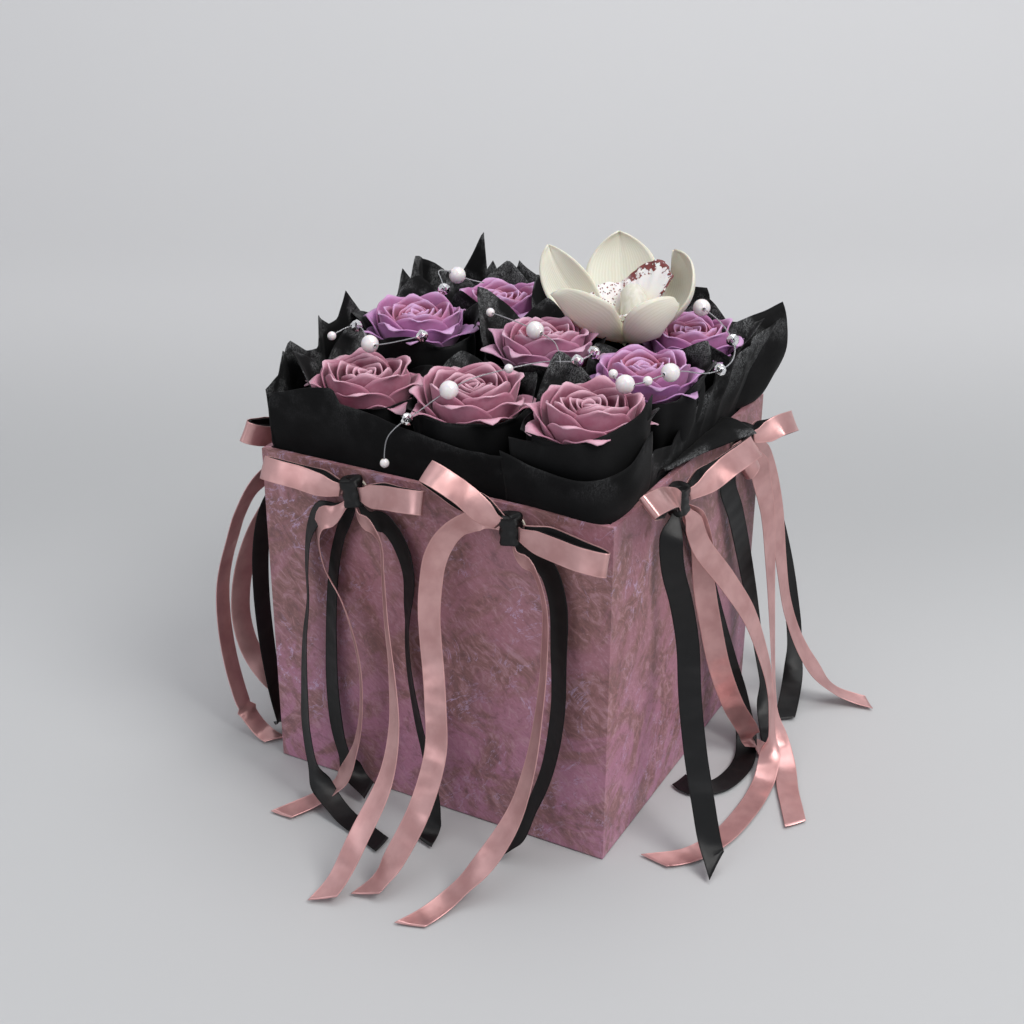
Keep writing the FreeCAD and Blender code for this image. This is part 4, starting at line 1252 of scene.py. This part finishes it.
def orchid_stuff():
    n = Nodes("orchid_ivory")
    vein = n.mark("vein")
    along = n.mark("along")
    wander = n.noise(n.position(), 0.12, 3.0)
    lines = n.math("SINE", n.math("MULTIPLY_ADD", vein, 74.0, n.math("MULTIPLY", wander, 7.0)))
    colour = n.mix(n.ramp(along, 0.0, 0.35), srgb(212, 210, 168), srgb(226, 224, 208))
    colour = n.mix(n.ramp(lines, 0.3, 1.0, 0.0, 0.35), colour, srgb(206, 201, 178))
    colour = n.mix(n.ramp(wander, 0.4, 0.7, 0.0, 0.3), colour, srgb(226, 223, 210))
    fine = n.noise(n.position(), 0.9, 4.0)
    normal = n.bump(n.math("MULTIPLY_ADD", lines, 0.5, fine), 0.16, 0.25)
    n.set(Base_Color=colour, Roughness=n.ramp(fine, 0.3, 0.7, 0.42, 0.55), Normal=normal)
    n.set(Subsurface_Weight=0.2, Subsurface_Scale=2.0 * MM, Sheen_Weight=0.1)
    return n.material


def lip_stuff():
    n = Nodes("orchid_lip")
    at = n.position()
    edge = n.mark("edge")
    lobe = n.mark("lobe")
    cloud = n.noise(at, 0.42, 3.0, 0.6)
    band = n.ramp(n.math("MULTIPLY_ADD", cloud, 1.1, edge), 1.42, 1.48)
    speck = n.ramp(n.cells(at, 0.75), 0.36, 0.30)
    spots = n.math("MULTIPLY", speck, n.ramp(n.math("MULTIPLY_ADD", cloud, 0.6, edge), 0.72, 0.95))
    marks = n.math("ADD", n.math("MULTIPLY", band, n.math("SUBTRACT", 1.0, lobe, clamp=True)),
                   n.math("MULTIPLY", spots, lobe), clamp=True)
    colour = n.mix(n.ramp(edge, 0.1, 0.8), srgb(222, 214, 186), srgb(236, 232, 232))
    stain = n.mix(n.ramp(cloud, 0.35, 0.65), srgb(84, 30, 38), srgb(124, 54, 52))
    colour = n.mix(marks, colour, stain)
    n.set(Base_Color=colour, Roughness=n.ramp(cloud, 0.3, 0.7, 0.38, 0.5))
    n.set(Normal=n.bump(n.noise(at, 0.8, 4.0), 0.15, 0.2), Subsurface_Weight=0.15)
    n.set(Subsurface_Scale=1.5 * MM)
    return n.material


def column_stuff():
    n = Nodes("orchid_column")
    at = n.position()
    streak = n.noise(n.position(scale=(1.0, 1.0, 0.3)), 0.5, 4.0)
    colour = n.mix(n.ramp(streak, 0.35, 0.65), srgb(206, 203, 188), srgb(218, 214, 204))
    n.set(Base_Color=colour, Roughness=0.42, Normal=n.bump(n.noise(at, 0.9, 3.0), 0.1, 0.15))
    n.set(Subsurface_Weight=0.15, Subsurface_Scale=1.5 * MM)
    return n.material


def fan(rim, foot, belly, ruffle, seed):
    """Sheet from a foot point out to a rim, bellied away from the flower's axis, rim ruffled."""
    columns = 70
    rows = 16
    line = smooth_line(rim, columns)
    t = np.linspace(0.06, 1.0, rows)[:, None, None]
    grid = foot * (1 - t) + line[None] * t
    outward = line - ORCHID_AXIS
    outward[:, 2] *= 0.3
    outward = unit(outward)
    grid = grid + outward[None] * (belly * np.sin(math.pi * t) * (1 - 0.4 * t))
    a = np.linspace(0.0, 1.0, columns)
    wave = ruffle * (np.sin(a * 46 + seed) + 0.6 * np.sin(a * 83 + 2 * seed))
    grid = grid + outward[None] * (wave[None, :, None] * t ** 4)
    grid[..., 2] += (0.5 * ruffle * np.cos(a * 57 + seed))[None, :] * t[..., 0] ** 3
    return grid, np.broadcast_to(t[..., 0], grid.shape[:2]), np.broadcast_to(a, grid.shape[:2])


def rod(line, radii, columns):
    """Round body along a line, with a radius at each point."""
    ahead = headings(line)
    side = unit(np.cross(ahead, (0.3, 0.2, 0.9)))
    other = np.cross(ahead, side)
    a = np.linspace(0.0, 2 * math.pi, columns, endpoint=False)[None, :, None]
    radii = np.asarray(radii)[:, None, None]
    return line[:, None] + radii * (side[:, None] * np.cos(a) + other[:, None] * np.sin(a))


def add_orchid():
    blades = Shape()
    for values in tepals:
        grid, vein, along = tepal_grid(*values)
        blades.add_grid(grid, vein=vein, along=along)
    piece = blades.make("orchid_blades", orchid_stuff(), TEPAL_THICKNESS)
    place(piece, "orchid_ivory", "orchid_tepals")
    lip = Shape()
    grid, edge, a = fan(lip_rim, LIP_FOOT, 3.0, 0.55, 1.0)
    lip.add_grid(grid, edge=edge, lobe=1.0 - smoothstep(0.3, 0.42, a))
    grid, edge, a = fan(throat_rim, LIP_FOOT + (0.5, -1.0, 1.0), 1.5, 0.3, 2.0)
    lip.add_grid(grid, edge=edge, lobe=np.ones(edge.shape))
    piece = lip.make("orchid_frilled_lip", lip_stuff(), LIP_THICKNESS)
    place(piece, "orchid_lip", "orchid_lip")
    rows = 22
    columns = 24
    spine = smooth_line(((33.5, 39, 196), (34.5, 41, 202), (33.5, 44.5, 208), (30, 48, 212.5),
                         (27.5, 50, 214.5)), rows)
    share = np.linspace(0.0, 1.0, rows)
    radii = (4.2 + 2.2 * np.sin(math.pi * share)) * np.clip((1.0 - share) / 0.14, 0.02, 1.0) ** 0.5
    column = Shape()
    column.add_grid(rod(spine, radii, columns), around=True)
    column.close_ends(0, rows, columns)
    place(column.make("orchid_rod", column_stuff()), "orchid_column", "orchid_column")


# ---- collars -------------------------------------------------------------------------------------
COLLAR_INNER = 81.0                         # face of a collar, from the middle of the box
COLLAR_REACH = 82.0                         # half its length along the wall
COLLAR_FOOT = RIM - 18.0
COLLAR_THICKNESS = 0.35


def fold_profile(a, pleats):
    """Sum of sharp-backed pleats: (place, width, depth) each, places from -1 to 1 along a wall."""
    depth = np.zeros_like(a)
    for middle, width, height in pleats:
        depth += height * np.exp(-np.abs((a - middle) / width) ** 1.4)
    return depth


def collar_grid(turns, edge, lean, pleats, seed):
    """Sheet along a wall, from the inside of the box up past the rim."""
    rows = 22
    columns = 120
    a = np.linspace(-1.0, 1.0, columns)
    v = np.linspace(0.0, 1.0, rows)[:, None]
    share, rise = np.array(edge, float).T
    top = RIM + np.interp(a, share, rise)
    lean_at = np.interp(a, *np.array(lean, float).T)
    up = COLLAR_FOOT + (top - COLLAR_FOOT)[None, :] * v
    above = np.clip((up - RIM) / 30.0, -0.4, 1.6)
    out = lean_at[None, :] * np.clip(above, 0.0, None) + fold_profile(a, pleats)[None, :] * \
        smoothstep(-0.1, 0.9, above)
    below = np.clip((RIM + 2.0 - up) / 6.0, 0.0, 1.0)
    out = out * (1 - below) - 0.6
    along = a[None, :] * (COLLAR_REACH - 1.5 * below)
    grid = np.stack([along + 0 * v, -(COLLAR_INNER + out), up], axis=-1)
    ripple = bumps(grid, 20.0, seed) * 1.1 * (1 - below)
    fine = bumps(grid, 7.0, seed + 11) * 0.35 * (1 - below)
    grid[..., 1] -= ripple + fine
    grid[..., 2] += bumps(grid, 15.0, seed + 5) * 1.2 * v ** 3
    return quarter_turned(grid, turns), np.clip((v - 0.55) / 0.45, 0, 1) * np.ones(columns)[None, :]


def sheet_between(lower, upper, belly, columns=60, rows=20):
    """Sheet between two edges given by a few points each, bellied along the given direction."""
    low = smooth_line(lower, columns)
    high = smooth_line(upper, columns)
    t = np.linspace(0.0, 1.0, rows)[:, None, None]
    grid = low[None] * (1 - t) + high[None] * t
    grid = grid + np.array(belly, float) * np.sin(math.pi * t) ** 0.8
    return grid, np.clip((t[..., 0] - 0.6) / 0.4, 0, 1) * np.ones(columns)[None, :]


def crumple(grid, size, depth, seed):
    """Dents a grid in place, along all three axes."""
    for axis in range(3):
        grid[..., axis] += bumps(grid, size, seed + 7 * axis) * depth


# Each collar: quarter turns from the front wall; flat size; share of the fraying that shows; top
# edge as (share along the wall, rise over the rim); lean as (share along the wall, out); pleats as
# (share along the wall, width, depth); and the sheets folded with it, as lower edge, upper edge,
# belly, and the size, depth and seed of its dents.
collars = {
    "front": {
        "turns": 0, "flat": (75, 165), "fray": 0.15,
        "edge": ((-1, 20), (-0.96, 27), (-0.75, 32), (-0.57, 34), (-0.53, 28), (-0.32, 25),
                 (-0.18, 22), (0, 19), (0.2, 18), (0.4, 18), (0.6, 13), (0.75, 9), (0.9, 6),
                 (1, 3)),
        "lean": ((-1, 3), (0, 1), (0.5, 1), (1, 0)),
        "pleats": ((-0.62, 0.2, 1.2), (0.0, 0.25, 1.0), (0.34, 0.04, 1.6)),
        "folded": (
            (((34, -80.5, 156), (58, -80.6, 153), (80.5, -80.6, 150), (81, -66, 153),
              (80.5, -42, 158)),
             ((31, -80, 180), (50, -83, 178), (72, -84, 177), (85, -76, 182), (87, -56, 191)),
             (2.0, -2.0, 0.0), (16.0, 0.7, 3)),
            (((36, -76, 174), (58, -78, 172), (78, -77, 174), (84, -58, 182), (82, -46, 184)),
             ((30, -71, 183), (48, -76, 186), (68, -76, 190), (82, -62, 198), (83, -47, 203)),
             (1.0, -2.5, 0.0), (14.0, 0.7, 8)),
        ),
    },
    "right": {
        "turns": 1, "flat": (75, 165), "fray": 1.0,
        "edge": ((-1, 4), (-0.75, 12), (-0.5, 16), (-0.3, 12), (-0.1, 18), (0.0, 30), (0.08, 24),
                 (0.2, 34), (0.28, 30), (0.38, 42), (0.45, 31), (0.58, 36), (0.7, 38), (1, 40)),
        "lean": ((-1, 1), (0, 3), (0.6, 5), (1, 9)),
        "pleats": ((-0.55, 0.06, 2.0), (-0.3, 0.05, 2.5), (-0.05, 0.05, 3.0), (0.15, 0.05, 3.0),
                   (0.35, 0.05, 3.5), (0.6, 0.05, 3.0)),
        "folded": (
            (((78, 54, 159), (82, 64, 160.5), (85.5, 76, 161), (84, 83, 162)),
             ((69, 59, 196), (76, 66, 200), (84, 76, 204), (91, 85, 207.5)),
             (7.0, -1.0, 0.0), (14.0, 0.9, 6)),
            (((80.5, -34, 160.5), (80.5, 4, 161), (80.5, 42, 162)),
             ((83, -30, 163), (93, 6, 163), (101, 31, 162)),
             (0.0, 0.0, 2.5), (12.0, 0.5, 4)),
        ),
    },
    "back": {
        "turns": 2, "flat": (58, 165), "fray": 1.0,
        "edge": ((-1, 36), (-0.8, 33), (-0.67, 34), (-0.64, 47), (-0.56, 47), (-0.5, 34),
                 (-0.2, 30), (0.1, 26), (0.38, 36), (0.45, 40), (0.6, 47), (0.63, 36), (0.72, 35),
                 (0.78, 45), (0.82, 40), (0.85, 59), (0.93, 46), (1, 36)),
        "lean": ((-1, 6), (0, 3), (1, 4)),
        "pleats": ((-0.7, 0.06, 3.0), (-0.3, 0.06, 2.5), (0.2, 0.06, 3.0), (0.7, 0.06, 3.0)),
        "folded": (),
    },
    "left": {
        "turns": 3, "flat": (62, 165), "fray": 1.0,
        "edge": ((-1, 34), (-0.8, 46), (-0.62, 53), (-0.56, 54), (-0.5, 44), (-0.41, 51),
                 (-0.33, 36), (-0.06, 30), (0.08, 40), (0.21, 54), (0.3, 43), (0.36, 41),
                 (0.44, 47), (0.5, 33), (0.62, 35), (0.72, 42), (0.76, 37), (0.8, 39), (0.88, 30),
                 (1, 27)),
        "lean": ((-1, 4), (0, 2), (1, 3)),
        "pleats": ((-0.7, 0.05, 3.0), (-0.3, 0.05, 3.0), (0.0, 0.05, 3.0), (0.4, 0.05, 3.0),
                   (0.75, 0.05, 2.5)),
        "folded": (),
    },
}


def add_collars(finish):
    for seed, (name, collar) in enumerate(collars.items(), 1):
        grid, rim = collar_grid(collar["turns"], collar["edge"], collar["lean"],
                                collar["pleats"], seed)
        shape = Shape()
        shape.add_grid(grid, rim=rim * collar["fray"])
        for lower, upper, belly, dents in collar["folded"]:
            grid, rim = sheet_between(lower, upper, belly)
            crumple(grid, *dents)
            shape.add_grid(grid, rim=rim * collar["fray"])
        piece = shape.make("collar_sheet_" + name, finish, COLLAR_THICKNESS)
        place(piece, "black_nonwoven", "collar_" + name)


# ---- build ---------------------------------------------------------------------------------------
add_camera()
add_floor()
add_light()
finish_nodes()
add_garlands()
add_bows()
add_roses()
add_orchid()
black_sheet = nonwoven()
add_wraps(black_sheet)
add_collars(black_sheet)
